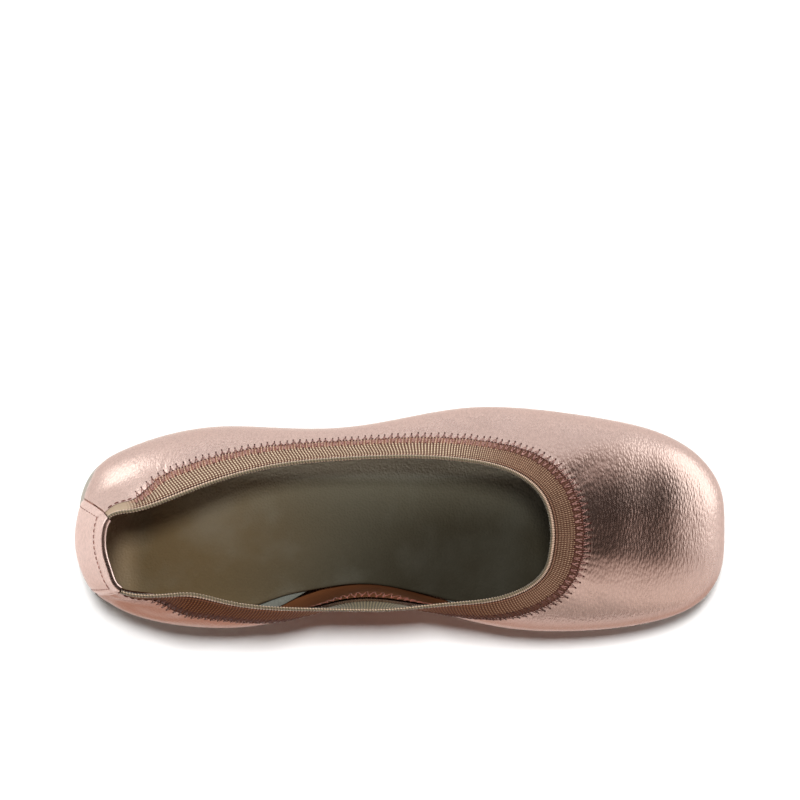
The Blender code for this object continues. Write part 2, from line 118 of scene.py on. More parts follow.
# The ring of sections. out is the wall's widest line and top is its upper edge. out_x, top_x: % of
# LENGTH. out_y, top_y: % of BALL_WIDTH. out_z: % of INSTEP_HEIGHT. top_z: 0 at INSTEP_HEIGHT, 100 at
# BACK_HEIGHT. tuck and lip are in millimetres: the feather line lies tuck inside the widest line, and
# the sole's edge lip outside the feather line. lean is the slope at the upper edge, in degrees.
Section = namedtuple("Section", "name out_x out_y out_z tuck lip top_x top_y top_z lean")
SECTIONS = (
    Section("back",                    -49.3,  -8.6,  63, 2.2, 3.0, -44.1, -11.6,   93,  74),
    Section("strip edge, lateral",     -48.3,   9.5,  60, 2.2, 5.2, -43.3,   1.5,   93,  70),
    Section("heel corner, lateral",    -46.5,  23.1,  58, 2.2, 3.1, -40.4,   3.9,   84,  63),
    Section("heel side, lateral",      -42.1,  31.4,  56, 2.6, 2.0, -37.0,   6.4,   72,  50),
    Section("quarter, lateral",        -35.7,  37.7,  54, 3.0, 1.6, -32.6,  11.3,   54,  42),
    Section("quarter swell, lateral",  -28.1,  41.2,  51, 3.0, 1.4, -26.8,  17.4,   34,  46),
    Section("arch back, lateral",      -19.1,  40.7,  49, 3.0, 1.4, -18.7,  23.2,   11,  57),
    Section("waist, lateral",           -8.9,  40.8,  47, 3.2, 1.4,  -8.9,  26.1,   -6,  65),
    Section("waist front, lateral",      0.9,  45.2,  44, 3.4, 1.4,   0.0,  27.1,  -11,  65),
    Section("joint, lateral",           10.2,  49.5,  42, 3.6, 1.4,   7.7,  26.2,   -9,  60),
    Section("ball, lateral",            20.0,  49.1,  40, 3.6, 1.4,  14.0,  23.3,   -5,  51),
    Section("throat corner, lateral",   30.6,  45.1,  40, 3.6, 1.4,  18.5,  17.9,   -2,  34),
    Section("toe side, lateral",        39.8,  38.8,  41, 3.6, 1.4,  21.1,  10.9,    0,  22),
    Section("toe corner, lateral",      46.0,  28.6,  42, 3.6, 1.4,  22.2,   4.2,    0,  12),
    Section("toe front, lateral",       49.6,  13.4,  42, 3.6, 1.4,  22.6,  -1.5,    0,   8),
    Section("toe tip",                  50.2,  -5.5,  42, 3.6, 1.4,  22.7,  -6.9,    0,   8),
    Section("toe front, medial",        49.6, -23.2,  42, 3.6, 1.4,  22.5, -12.5,    0,   9),
    Section("toe corner, medial",       46.7, -36.2,  42, 3.6, 1.4,  22.0, -18.4,    0,  15),
    Section("toe side, medial",         40.5, -44.8,  41, 3.6, 1.4,  20.5, -24.5,   -1,  28),
    Section("throat corner, medial",    32.3, -48.9,  40, 3.6, 1.4,  17.8, -29.4,   -3,  39),
    Section("ball, medial",             23.8, -50.0,  40, 3.6, 1.4,  13.6, -33.0,   -6,  47),
    Section("joint, medial",            15.5, -48.0,  41, 3.8, 1.4,   8.5, -34.6,   -8,  60),
    Section("joint back, medial",        7.9, -42.6,  47, 2.6, 1.4,   3.6, -36.1,  -10,  80),
    Section("waist front, medial",       0.9, -35.8,  54, 1.8, 1.4,  -1.3, -37.6,  -12,  95),
    Section("waist, medial",            -6.4, -33.9,  56, 3.3, 1.4,  -6.4, -37.8,  -12,  97),
    Section("arch back, medial",       -13.6, -40.6,  58, 5.2, 1.4, -12.3, -37.3,   -4,  82),
    Section("quarter swell, medial",   -21.7, -46.8,  54, 4.2, 1.4, -19.1, -36.4,   10,  58),
    Section("quarter, medial",         -29.8, -48.0,  51, 3.2, 1.4, -26.0, -33.6,   32,  50),
    Section("heel side, medial",       -37.0, -45.3,  54, 2.8, 1.8, -31.7, -29.9,   52,  43),
    Section("heel corner, medial",     -42.6, -40.3,  56, 2.4, 2.6, -36.8, -30.5,   71,  80),
    Section("strip edge, medial",      -46.2, -32.6,  60, 2.2, 5.0, -41.6, -28.4,   93,  80),
    Section("back, medial",            -48.3, -22.3,  63, 2.2, 3.8, -43.2, -21.1,   93,  76),
)

# Colours that come with a material and have no setting of their own. The first three are what the foil,
# the webbing and the thread throw back at a glancing angle.
FOIL_EDGE_TINT = "#f9f0ec"
WEBBING_EDGE_TINT = "#c4ae9e"
THREAD_EDGE_TINT = "#a08270"
LIT_SIDE_RIBS = (2.05, 2.45, 2.75)   # painted light: the ribs' colour is this much stronger on the lit outer side
LIT_SIDE_BAND = "#b4786a"            # the band under the zigzag: painted lighter on the lit outer side, painted darker on the shaded inner side
SHADED_SIDE_BAND = "#4c281a"
INNER_SIDE_SHADE = "#a67848"               # painted shade that darkens the webbing on the inner side
ZIGZAG_DARK = "#64342a"
# painted shade for the zigzag's thread on the shoe's inner side
ZIGZAG_INNER_SHADE = "#4e2a1c"
INSIDE_THREAD = "#bc7462"
PLAIN_THREAD, PLAIN_DARK = "#7c463c", "#3c1c18"
HEEL_THREAD, HEEL_DARK = "#ac7e72", "#64403a"
HOLE_DARK, HOLE_LIGHT = "#2a100c", "#4a221a"
# Sock tints: darker towards the toe; painted light where the walls shade the sock; painted sheen in soft
# patches
SOCK_TOE, SOCK_OUTER_EDGE_LIGHT = "#2c2618", "#a4a08a"
SOCK_OUTER_WALL_LIGHT, SOCK_HEEL_RIM_LIGHT = "#e8ead6", "#dcc09c"
SOCK_SHEEN = "#c8ccc0"
PAINT, PAINT_RAISED = "#fbfbfa", "#ffffff"
ROOM_WARM, ROOM_DIM = "#fff4ec", "#ffd2bc"

# Numbers of sides of round things, how far a thread's ends taper, and the two faces of a slab
CORD_SIDES = 12
HOLE_SIDES = 8
THREAD_POINT = 0.55
UNDER, OVER = 0, -1


# ---------------------------------------------------------------- curves

def closed_spline(knots, values, at):
    """A smooth closed curve through values at knots (one knot more than values), read at the places at."""
    span = np.diff(knots)
    count = len(values)
    row = np.arange(count)
    slope = (np.roll(values, -1, 0) - values) / span[:, None]
    matrix = np.zeros((count, count))
    matrix[row, row] = 2 * (span + np.roll(span, 1))
    matrix[row, row - 1] += np.roll(span, 1)
    matrix[row, (row + 1) % count] += span
    bend = np.linalg.solve(matrix, 6 * (slope - np.roll(slope, 1, 0)))
    at = np.mod(at, knots[-1])
    here = np.clip(np.searchsorted(knots, at, "right") - 1, 0, count - 1)
    after = (here + 1) % count
    far = ((at - knots[here]) / span[here])[:, None]
    near = 1 - far
    curl = (near ** 3 - near) * bend[here] + (far ** 3 - far) * bend[after]
    return near * values[here] + far * values[after] + curl * span[here][:, None] ** 2 / 6


def bezier(start, leave, arrive, end, steps):
    """Points along cubic Bezier curves, one curve for each row of the four arrays."""
    t = np.linspace(0, 1, steps)[None, :, None]
    start, leave, arrive, end = (point[:, None, :] for point in (start, leave, arrive, end))
    curve = (1 - t) ** 3 * start + 3 * (1 - t) ** 2 * t * leave
    return curve + 3 * (1 - t) * t ** 2 * arrive + t ** 3 * end


def running_length(points):
    """Lengths along lines of points, from 0 at each line's first point."""
    steps = np.linalg.norm(np.diff(points, axis=-2), axis=-1)
    return np.cumsum(np.insert(steps, 0, 0, axis=-1), axis=-1)


def unit(vectors):
    return vectors / np.linalg.norm(vectors, axis=-1, keepdims=True)


def ease(share):
    """Smooth step from 0 to 1."""
    share = np.clip(share, 0, 1)
    return share * share * (3 - 2 * share)


def ramp(length, start, run):
    """Smooth step of a length: 0 up to start, 1 from run further on, both in millimetres."""
    return ease((length - start * MM) / (run * MM))


def hill(distance, width):
    """1 at no distance, falling softly to 0."""
    return np.exp(-(distance / width) ** 2)


def pulse(length, pitch):
    """1 at every multiple of the pitch and 0 half way between."""
    return 0.5 + 0.5 * np.cos(2 * math.pi * length / pitch)


def arch(count):
    """Rise from 0 to 1 and back over a count of points."""
    return np.sin(math.pi * np.linspace(0, 1, count))


# ---------------------------------------------------------------- the sole's profile along the shoe

def toe_lift(x):
    toe = np.clip((x - BALL_FRONT) / (LENGTH / 2 - BALL_FRONT), 0, None)
    return TOE_SPRING * toe ** 2


def sole_top(x):
    slope = ease((x - SEAT_FRONT) / (BALL_BACK - SEAT_FRONT))
    return SEAT_HEIGHT + (FOREPART_HEIGHT - SEAT_HEIGHT) * slope + toe_lift(x)


def sole_bottom(x):
    arch = ARCH_RISE * ease((BALL_BACK - x) / (BALL_BACK - BREAST)) + toe_lift(x)
    front = ease((x - BREAST) / BREAST_SLOPE)
    return arch * front


# ---------------------------------------------------------------- the wall

UNITS = np.array([LENGTH / 100, BALL_WIDTH / 100, INSTEP_HEIGHT / 100, MM, MM, LENGTH / 100,
                  BALL_WIDTH / 100, (BACK_HEIGHT - INSTEP_HEIGHT) / 100, math.radians(1)])
RING = np.array([section[1:] for section in SECTIONS]) * UNITS
OUT, TUCK, RIM, TOP, LEAN = slice(0, 3), 3, 4, slice(5, 8), 8
RING[:, TOP] += (0, 0, INSTEP_HEIGHT)
KNOTS = running_length(np.concatenate([RING[:, OUT], RING[:1, OUT]]))
PERIOD = KNOTS[-1]
FINE = PERIOD * 1e-4
UP = np.array([[0, 0, 1.0]])


def section_place(name):
    return KNOTS[[section.name for section in SECTIONS].index(name)]


def outward(turn, part):
    """Level unit vectors that point out of the shoe, square to one of the ring's two lines."""
    along = closed_spline(KNOTS, RING, turn + FINE) - closed_spline(KNOTS, RING, turn - FINE)
    across, ahead = along[:, part][:, 1], along[:, part][:, 0]
    return unit(np.stack([-across, ahead, np.zeros(len(turn))], axis=1))


def feather(turn):
    """Points of the feather line, where the wall turns in under the foot."""
    row = closed_spline(KNOTS, RING, turn)
    point = row[:, OUT] - outward(turn, OUT) * row[:, TUCK, None]
    point[:, 2] = sole_top(point[:, 0]) + GAP
    return point


def wall_lines(turn):
    """The wall's outer face as lines from its upper edge, over the widest line, to the feather line."""
    row = closed_spline(KNOTS, RING, turn)
    out, top, lean = row[:, OUT], row[:, TOP], row[:, LEAN, None]
    slope = outward(turn, TOP) * np.cos(lean) - UP * np.sin(lean)
    slant = np.linalg.norm(top - out, axis=1)[:, None]
    rise = (top - out)[:, 2:]
    above = bezier(top, top + slope * slant * REACH, out + UP * rise * RISE, out, 40)
    foot = feather(turn)
    drop = (out - foot)[:, 2:]
    toe_in = foot + outward(turn, OUT) * row[:, TUCK, None] * 0.55 + UP * drop * 0.06
    below = bezier(out, out - UP * drop * 0.5, toe_in, foot, 24)
    return np.concatenate([above, below[:, 1:]], axis=1)


def wall(turn, drops):
    """Points of the wall's outer face at drops along it from its upper edge, and the normals there.

    turn has one entry a line, and drops one row a line or one row for them all.
    """
    lines = wall_lines(turn)
    onward = wall_lines(turn + FINE) - wall_lines(turn - FINE)
    face = unit(np.cross(onward, np.gradient(lines, axis=1)))
    gone = running_length(lines)
    drops = np.broadcast_to(drops, (len(turn), np.shape(drops)[-1]))
    spots = np.empty(drops.shape + (3,))
    normals = np.empty(drops.shape + (3,))
    for line in range(len(turn)):
        for axis in range(3):
            spots[line, :, axis] = np.interp(drops[line], gone[line], lines[line, :, axis])
            normals[line, :, axis] = np.interp(drops[line], gone[line], face[line, :, axis])
    return spots, unit(normals)


def wall_spots(turn, drop):
    """Points and normals of the wall for places and drops in arrays of one shape."""
    drop = np.broadcast_to(drop, np.shape(turn))
    spots, normals = wall(np.ravel(turn), np.reshape(drop, (-1, 1)))
    return spots.reshape(*np.shape(turn), 3), normals.reshape(*np.shape(turn), 3)


def wall_depth(turn):
    return running_length(wall_lines(turn))[:, -1:]


# The topline runs from the heel strip's outer edge round the toe to its inner edge. Its places are
# counted in metres along the webbing's middle.
WEBBING_FROM = section_place("strip edge, lateral") + GAP
WEBBING_TO = section_place("strip edge, medial") - GAP
TURN_MARKS = np.linspace(WEBBING_FROM, WEBBING_TO, 1500)
TOPLINE_MARKS = running_length(wall_spots(TURN_MARKS, WEBBING_WIDTH / 2)[0])
TOPLINE = TOPLINE_MARKS[-1]


def topline_turn(place):
    return np.interp(place, TOPLINE_MARKS, TURN_MARKS)


def topline_place(turn):
    return np.interp(turn, TURN_MARKS, TOPLINE_MARKS)


# ---------------------------------------------------------------- meshes

def new_object(name, data):
    """An object in the scene for a mesh, a lamp or a camera."""
    made = bpy.data.objects.new(name, data)
    bpy.context.scene.collection.objects.link(made)
    return made


def add_piece(name, points, faces, finishes, uv=None, slots=None):
    """A mesh piece from points and faces, riding on the shoe. slots gives a material index a face."""
    mesh = bpy.data.meshes.new(name)
    mesh.from_pydata(np.asarray(points).reshape(-1, 3).tolist(), [], faces)
    for finish in finishes:
        mesh.materials.append(finish)
    if slots is not None:
        mesh.polygons.foreach_set("material_index", slots)
    if uv is not None:
        layer = mesh.uv_layers.new(name="sizes")
        corners = np.empty(len(mesh.loops), dtype=np.int32)
        mesh.loops.foreach_get("vertex_index", corners)
        layer.data.foreach_set("uv", np.asarray(uv, dtype=np.float32).reshape(-1, 2)[corners].ravel())
    form = bmesh.new()
    form.from_mesh(mesh)
    bmesh.ops.recalc_face_normals(form, faces=form.faces)
    form.to_mesh(mesh)
    form.free()
    mesh.shade_smooth()
    mesh.set_sharp_from_angle(angle=math.radians(50))
    piece = new_object(name, mesh)
    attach(piece, "root")
    return piece


def sheet_faces(lines, size, wrap_lines, wrap_size, start=0):
    """Quads of a grid of points, line by line, closed round either way or not."""
    line = np.arange(lines if wrap_lines else lines - 1)
    spot = np.arange(size if wrap_size else size - 1)
    line, spot = np.meshgrid(line, spot, indexing="ij")
    after_line, after = (line + 1) % lines, (spot + 1) % size
    quads = np.stack([line * size + spot, line * size + after,
                      after_line * size + after, after_line * size + spot], axis=-1)
    return (quads.reshape(-1, 4) + start).tolist()


def hoop(loops, closed):
    """Faces of a hoop: one closed loop of points a line, joined to the next, capped at open ends."""
    lines, size = loops.shape[:2]
    faces = sheet_faces(lines, size, closed, True)
    if not closed:
        for start in (0, (lines - 1) * size):
            for spot in range(size // 2 - 1):
                facing = size - 1 - spot
                faces.append([start + spot, start + spot + 1, start + facing - 1, start + facing])
    return faces


def tube(lines, sides, start=0):
    """Faces of a tube of rings of points, closed at both ends."""
    rings = [list(range(start + line * sides, start + (line + 1) * sides)) for line in (0, lines - 1)]
    return sheet_faces(lines, sides, False, True, start) + rings


def circle(sides):
    """Angles round a circle."""
    return np.linspace(0, 2 * math.pi, sides, endpoint=False)


def ellipses(centres, side, up, angles, wide, high):
    """Rings of points round centres, wide along side and high along up."""
    return (centres[..., None, :] + side[..., None, :] * (np.cos(angles) * wide)[..., None]
            + up[..., None, :] * (np.sin(angles) * high)[..., None])


def between(starts, ends, count):
    """Points along straight lines from starts to ends."""
    share = np.linspace(0, 1, count)[:, None]
    return starts[:, None] * (1 - share) + ends[:, None] * share


def sew(name, spots, normals, lift, radius, sides, finish):
    """A piece of round threads with pointed ends, lifted off their spots (thread, point, 3)."""
    paths = spots + normals * lift[..., None]
    count, size = paths.shape[:2]
    ahead = unit(np.gradient(paths, axis=1))
    side = unit(np.cross(ahead, normals))
    girth = np.broadcast_to(radius, (count, size)).copy()
    girth[:, [0, -1]] *= THREAD_POINT
    girth = girth[:, :, None]
    points = ellipses(paths, side, np.cross(side, ahead), circle(sides), girth, girth)
    faces = []
    for thread in range(count):
        faces += tube(size, sides, thread * size * sides)
    return add_piece(name, points, faces, [finish])


def slab(name, rim, stations, across, steps, levels, heights, finish):
    """A flat body inside a closed rim line, such as a sole, with a grid of points on both its faces.

    levels are (inset, face, rise) from the underside up: how far inside the rim, measured from the
    bottom or the top face, and raised by rise. heights are two functions, for the bottom and the top:
    each takes points and their distance inside the rim. steps are places in x with cuts of their own.
    """
    turn = np.linspace(0, PERIOD, 3000, endpoint=False)
    line = rim(turn)
    back = np.argmin(line[:, 0])
    turn = np.concatenate([turn[back:], turn[:back] + PERIOD])
    line = np.roll(line, -back, axis=0)
    toe = np.argmax(line[:, 0])
    first, last = line[0, 0], line[toe, 0]
    x = first + (last - first) * (1 - np.cos(np.linspace(0, math.pi, stations + 1))) / 2
    for step in steps:
        x = x[np.abs(x - step) > 0.25 * MM]
    x = np.sort(np.append(x, steps))
    inner = x[1:-1]
    lateral = np.interp(inner, line[:toe + 1, 0], turn[:toe + 1])
    medial = np.interp(-inner[::-1], -line[toe:, 0], turn[toe:])
    around = np.concatenate([[turn[0]], lateral, [turn[toe]], medial])
    edge = rim(around)
    along = rim(around + FINE) - rim(around - FINE)
    out = unit(np.stack([-along[:, 1], along[:, 0]], axis=1))
    side = np.abs(out[:, 1]) > 0.9
    out[side] = np.column_stack([np.zeros(side.sum()), 1 / out[side, 1]])
    count = len(around)
    points = []
    for inset, face, rise in levels:
        spot = edge[:, :2] - out * inset
        height = heights[face](spot, np.full(count, inset)) + rise
        points.extend(np.column_stack([spot, height]))
    faces = sheet_faces(len(levels), count, False, True)
    for face, start in ((UNDER, 0), (OVER, (len(levels) - 1) * count)):
        inset = levels[face][0]
        rows = [[start] * (across + 1)]
        for left in range(start + 1, start + len(x) - 1):
            right = 2 * start + count - left
            low, high = points[left][:2], points[right][:2]
            part = ease(np.arange(1, across) / across)[:, None]
            spots = low * (1 - part) + high * part
            from_sides = np.minimum(part[:, 0], 1 - part[:, 0]) * np.linalg.norm(high - low)
            from_ends = np.minimum(spots[:, 0] - first, last - spots[:, 0])
            height = heights[face](spots, inset + np.minimum(from_sides, from_ends))
            rows.append([left, *range(len(points), len(points) + across - 1), right])
            points.extend(np.column_stack([spots, height]))
        rows.append([start + len(x) - 1] * (across + 1))
        for near, far in zip(rows, rows[1:]):
            for cut in range(across):
                corners = list(dict.fromkeys((near[cut], near[cut + 1], far[cut + 1], far[cut])))
                if len(corners) > 2:
                    faces.append(corners)
    points = np.array(points)
    return add_piece(name, points, faces, [finish], uv=points[:, :2] * 10)


# ---------------------------------------------------------------- finishes

TIMES = {"operation": "MULTIPLY"}
TIMES_PLUS = {"operation": "MULTIPLY_ADD"}
CLAMPED = {"use_clamp": True}
COLOURS = {"data_type": "RGBA"}
SMOOTH = {"interpolation_type": "SMOOTHSTEP"}
BLACK, WHITE = (0, 0, 0), (1, 1, 1)


def linear(hex_colour):
    """Linear colour from an sRGB hex value."""
    parts = [int(hex_colour[at:at + 2], 16) / 255 for at in (1, 3, 5)]
    return tuple(part / 12.92 if part <= 0.04045 else ((part + 0.055) / 1.055) ** 2.4 for part in parts)


def shade(colour, share):
    """A colour darkened to a share of itself."""
    return tuple(part * share for part in colour)


def feed(tree, socket, value):
    """Gives a socket an output or a value of its own."""
    if isinstance(value, bpy.types.NodeSocket):
        tree.links.new(value, socket)
    else:
        socket.default_value = (*value, 1) if socket.type == "RGBA" else value


def add_node(tree, kind, inputs=(), **settings):
    """Adds a node with its settings and its inputs, in order or by name, and gives its outputs."""
    made = tree.nodes.new("ShaderNode" + kind)
    for name, value in settings.items():
        setattr(made, name, value)
    for name, value in inputs.items() if isinstance(inputs, dict) else enumerate(inputs):
        feed(tree, made.inputs[name], value)
    return made.outputs


def material(name):
    """A new material and the function that adds nodes to it."""
    made = bpy.data.materials.new(name)
    made.use_nodes = True
    return made, partial(add_node, made.node_tree)


def dress(made, *layers, **sockets):
    """Gives the shader its sockets, and its chained bump layers, each (height, depth in mm)."""
    tree = made.node_tree
    normal = {}
    for height, depth in layers:
        inputs = {"Height": height, "Distance": depth * MM, "Strength": 1.0, **normal}
        normal = {"Normal": add_node(tree, "Bump", inputs)[0]}
    for name, value in {**sockets, **normal}.items():
        feed(tree, tree.nodes["Principled BSDF"].inputs[name.replace("_", " ")], value)
    return made


def patterns(node, place, *rows):
    """Patterns at a place. A row holds noise or cells, its size in mm, its detail and its roughness."""
    for kind, size, *detail in rows:
        inputs = {"Vector": place, "Scale": 1 / (size * MM)}
        inputs.update(zip(("Detail", "Roughness"), detail))
        yield node("Tex" + kind, inputs)[0]


def wave(node, place, pitch):
    """A pattern that is 1 at every multiple of the pitch and 0 half way between."""
    phase = node("Math", (place, 2 * math.pi / pitch), **TIMES)[0]
    height = node("Math", (phase,), operation="COSINE")[0]
    return node("Math", (height, 0.5, 0.5), **TIMES_PLUS)[0]


def laid_over(node, colour, *rows):
    """A colour with others laid over it in turn. A row holds what covers it, the share and the colour."""
    for cover, share, over in rows:
        cover = node("Math", (cover, share), **TIMES)[0]
        colour = node("Mix", {0: cover, 6: colour, 7: over}, **COLOURS)[2]
    return colour


def foil_nappa(name, look, colour, grain_depth, painted_shade_share):
    """Nappa with a rose-gold foil pressed on: a soft metal gloss broken by the skin's fine grain."""
    made, node = material(name)
    chart = node("TexCoord")
    place = chart["Object"]
    warp = node("TexNoise", {"Vector": place, "Scale": 1 / (4 * MM), "Detail": 2.0})["Color"]
    bent = node("VectorMath", (warp, (0.3 * MM, 0.3 * MM, 0.3 * MM), place), **TIMES_PLUS)[0]
    # The grain's cells are drawn out across the shoe, as the skin is pulled over the last
    drawn = node("Mapping", {"Vector": bent, "Scale": (1.1, 0.42, 0.70),
                             "Rotation": (0, 0, math.radians(12))})[0]
    cells, soft = patterns(node, drawn, ("Voronoi", look.grain_size / MM), ("Noise", 2.6, 3.0))
    pores, worn = patterns(node, place, ("Noise", 0.35, 3.0, 0.6), ("Noise", 14, 4.0))
    # Painted shade: the foil is painted brown on the steep part of the inner side, most of all behind the
    # waist, for the shadowed floor it reflects there
    _, sideways, upward = node("SeparateXYZ", (chart["Normal"],))
    x = node("SeparateXYZ", (place,))[0]
    painted_shade = painted_shade_share
    for value, start, end, least in ((sideways, -0.15, -0.55, 0), (upward, 0.88, 0.40, 0),
                                     (x, 45 * MM, -20 * MM, 0.7)):
        part = node("MapRange", (value, start, end, least), **SMOOTH)[0]
        painted_shade = node("Math", (painted_shade, part), **TIMES)[0]
    hollow = node("Math", (cells, 1.2), **TIMES, **CLAMPED)[0]
    tint = laid_over(node, colour, (hollow, 1, shade(colour, 0.80)), (worn, 0.35, look.edge_colour),
                     (painted_shade, 1, look.painted_shade_colour))
    gloss = node("Math", (worn, 0.08, look.roughness - 0.09), **TIMES_PLUS)[0]
    gloss = node("Math", (pores, 0.10, gloss), **TIMES_PLUS)[0]
    return dress(made, (soft, 0.004 * grain_depth), (cells, -0.078 * grain_depth),
                 (pores, 0.010 * grain_depth), Base_Color=tint, Metallic=1.0, Roughness=gloss,
                 Specular_IOR_Level=0.5, Specular_Tint=linear(FOIL_EDGE_TINT))


def lining_leather(look):
    """Tanned pigskin lining, rolled smooth: matt russet with small pores."""
    made, node = material("rolled_pigskin_lining")
    cloud, pores = patterns(node, node("TexCoord")["Object"], ("Noise", 9, 4.0), ("Voronoi", 1.3))
    tint = laid_over(node, look.colour, (cloud, 1, shade(look.colour, 0.6)))
    return dress(made, (pores, 0.08), Base_Color=tint, Roughness=0.7, Metallic=0.0, IOR=1.45)


def webbing_finish(look):
    """Woven elastic: pale gold ribs over dark rubber, crossed by rose warp threads.

    The piece's map holds the place along the topline and the drop from it, in centimetres.
    """
    made, node = material("woven_ribbed_elastic")
    chart = node("UVMap", uv_map="sizes")[0]
    along, drop, _ = node("SeparateXYZ", (chart,))
    rib = wave(node, along, RIB_PITCH / CM)
    rung = wave(node, drop, look.warp_pitch / CM)
    fuzz, cloud = (node("TexNoise", {"Vector": chart, "Scale": scale, "Detail": detail})[0]
                   for scale, detail in ((45.0, 3.0), (1.2, 2.0)))
    raised = node("Math", (rib, node("Math", (rung, 0.5, 0.5), **TIMES_PLUS)[0]), **TIMES)[0]
    raised = node("Math", (raised, 2.0), operation="POWER")[0]
    whole, plain = WOVEN[-1] / CM, PLAIN_END / CM
    half = node("Math", (along, whole / 2), operation="SUBTRACT")[0]
    half = node("Math", (half,), operation="ABSOLUTE")[0]
    woven, lit_outer_side, shaded_inner_side = (
        node("MapRange", (value, start, end), **SMOOTH)[0]
        for value, start, end in ((half, whole / 2 - 0.6 * plain, whole / 2 - 1.15 * plain),
                                  (along, 0.4 * whole, 0.3 * whole), (along, 0.6 * whole, 0.72 * whole)))
    raised = laid_over(node, (0.4, 0.4, 0.4), (woven, 1, raised))
    # Painted light and shade: the ribs and the band are painted lighter on the lit outer side, and the band
    # and the cloth darker on the shaded inner side
    lit_outer_ribs = tuple(np.multiply(look.rib_colour, LIT_SIDE_RIBS))
    ribs = laid_over(node, shade(look.rib_colour, 1.1), (lit_outer_side, 1, lit_outer_ribs))
    band = laid_over(node, look.band_colour, (lit_outer_side, 1, linear(LIT_SIDE_BAND)),
                     (shaded_inner_side, 1, linear(SHADED_SIDE_BAND)))
    cloth = laid_over(node, look.gap_colour, (raised, 1, ribs), (fuzz, 0.35, look.warp_colour),
                      (cloud, 0.25, look.gap_colour))
    shaded_cloth = node("Mix", {0: 0.9, 6: cloth, 7: linear(INNER_SIDE_SHADE)}, blend_type="MULTIPLY", **COLOURS)[2]
    cloth = laid_over(node, cloth, (shaded_inner_side, 1, shaded_cloth))
    band_share = node("Math", (lit_outer_side, -0.43, 0.78), **TIMES_PLUS)[0]
    # Across the webbing: two dark lines with rose dots between, plain weave, then the dark rose band
    for low, high, over, share in ((0.150, 0.195, look.gap_colour, 0.85),
                                   (0.195, 0.245, look.warp_colour, 0.2),
                                   (0.245, 0.285, look.gap_colour, 0.7),
                                   (0.875, 1.3, band, band_share)):
        below = node("Math", (drop, low), operation="GREATER_THAN")[0]
        above = node("Math", (drop, high), operation="LESS_THAN")[0]
        line = node("Math", (node("Math", (below, above), **TIMES)[0], woven), **TIMES)[0]
        cloth = laid_over(node, cloth, (line, share, over))
    return dress(made, (raised, 0.14), (fuzz, 0.05), Base_Color=cloth, Metallic=0.85, IOR=1.5,
                 Roughness=0.45, Specular_Tint=linear(WEBBING_EDGE_TINT), Sheen_Weight=0.06,
                 Sheen_Roughness=0.5)


def elastic_back(look):
    """The webbing's inner face: undyed pale covering yarn over the rubber."""
    made, node = material("undyed_elastic_yarn")
    chart = node("UVMap", uv_map="sizes")[0]
    rib = wave(node, node("SeparateXYZ", (chart,))[0], RIB_PITCH / CM)
    tint = laid_over(node, shade(look.back_colour, 0.35), (rib, 1, look.back_colour))
    return dress(made, (rib, 0.15), Base_Color=tint, Roughness=0.85, Sheen_Weight=0.08)


def yarn(name, colour, dark, lustre=0.0, inner_shade=None):
    """Twisted polyester thread: satin, with light catching the plies, and painted shade that darkens it on
    the shoe's inner side.
    """
    made, node = material(name)
    place = node("TexCoord")["Object"]
    plies, = patterns(node, place, ("Noise", 0.5, 2.0))
    lit = node("Math", (plies, 2.4, -0.7), **TIMES_PLUS, **CLAMPED)[0]
    tint = laid_over(node, linear(dark), (lit, 1, colour))
    # Painted shade: the thread is darkened on the shoe's inner side
    if inner_shade:
        inner = node("MapRange", (node("SeparateXYZ", (place,))[1], -20 * MM, -32 * MM), **SMOOTH)[0]
        tint = laid_over(node, tint, (inner, 0.9, linear(inner_shade)))
    return dress(made, (plies, 0.05), Base_Color=tint, Roughness=0.6, Metallic=lustre,
                 Sheen_Weight=0.15, Sheen_Roughness=0.4, Specular_Tint=linear(THREAD_EDGE_TINT))


def beaded_yarn(look):
    """Covering yarn whipped over the edge cord: pale gold outside, olive inside, with painted shade between
    the turns.

    The piece's map holds the turn of yarn and the half circle round the cord, outside below 1.
    """
    made, node = material("whipped_edge_yarn")
    chart = node("UVMap", uv_map="sizes")[0]
    along, around, _ = node("SeparateXYZ", (chart,))
    turns = wave(node, along, 1)
    facing = node("Math", (node("Math", (around, math.pi), **TIMES)[0],), operation="COSINE")[0]
    inner = node("MapRange", (facing, -0.2, 0.5), **SMOOTH)[0]
    bright = laid_over(node, look.bead_colour, (inner, 1, look.bead_inner_colour))
    # Painted shade between the turns of yarn
    dark = laid_over(node, bright, (1, 0.65, BLACK))
    lit = node("Math", (turns, 0.7), operation="POWER")[0]
    tint = laid_over(node, dark, (lit, 1, bright))
    return dress(made, (turns, 0.12), Base_Color=tint, Roughness=0.6, Sheen_Weight=0.3, Sheen_Roughness=0.4)


def needle_shade():
    """The inside of a needle hole: hardly any light comes back."""
    made, node = material("pierced_leather_shade")
    cloud, = patterns(node, node("TexCoord")["Object"], ("Noise", 2, 2.0))
    tint = laid_over(node, linear(HOLE_DARK), (cloud, 1, linear(HOLE_LIGHT)))
    return dress(made, Base_Color=tint, Roughness=0.9)


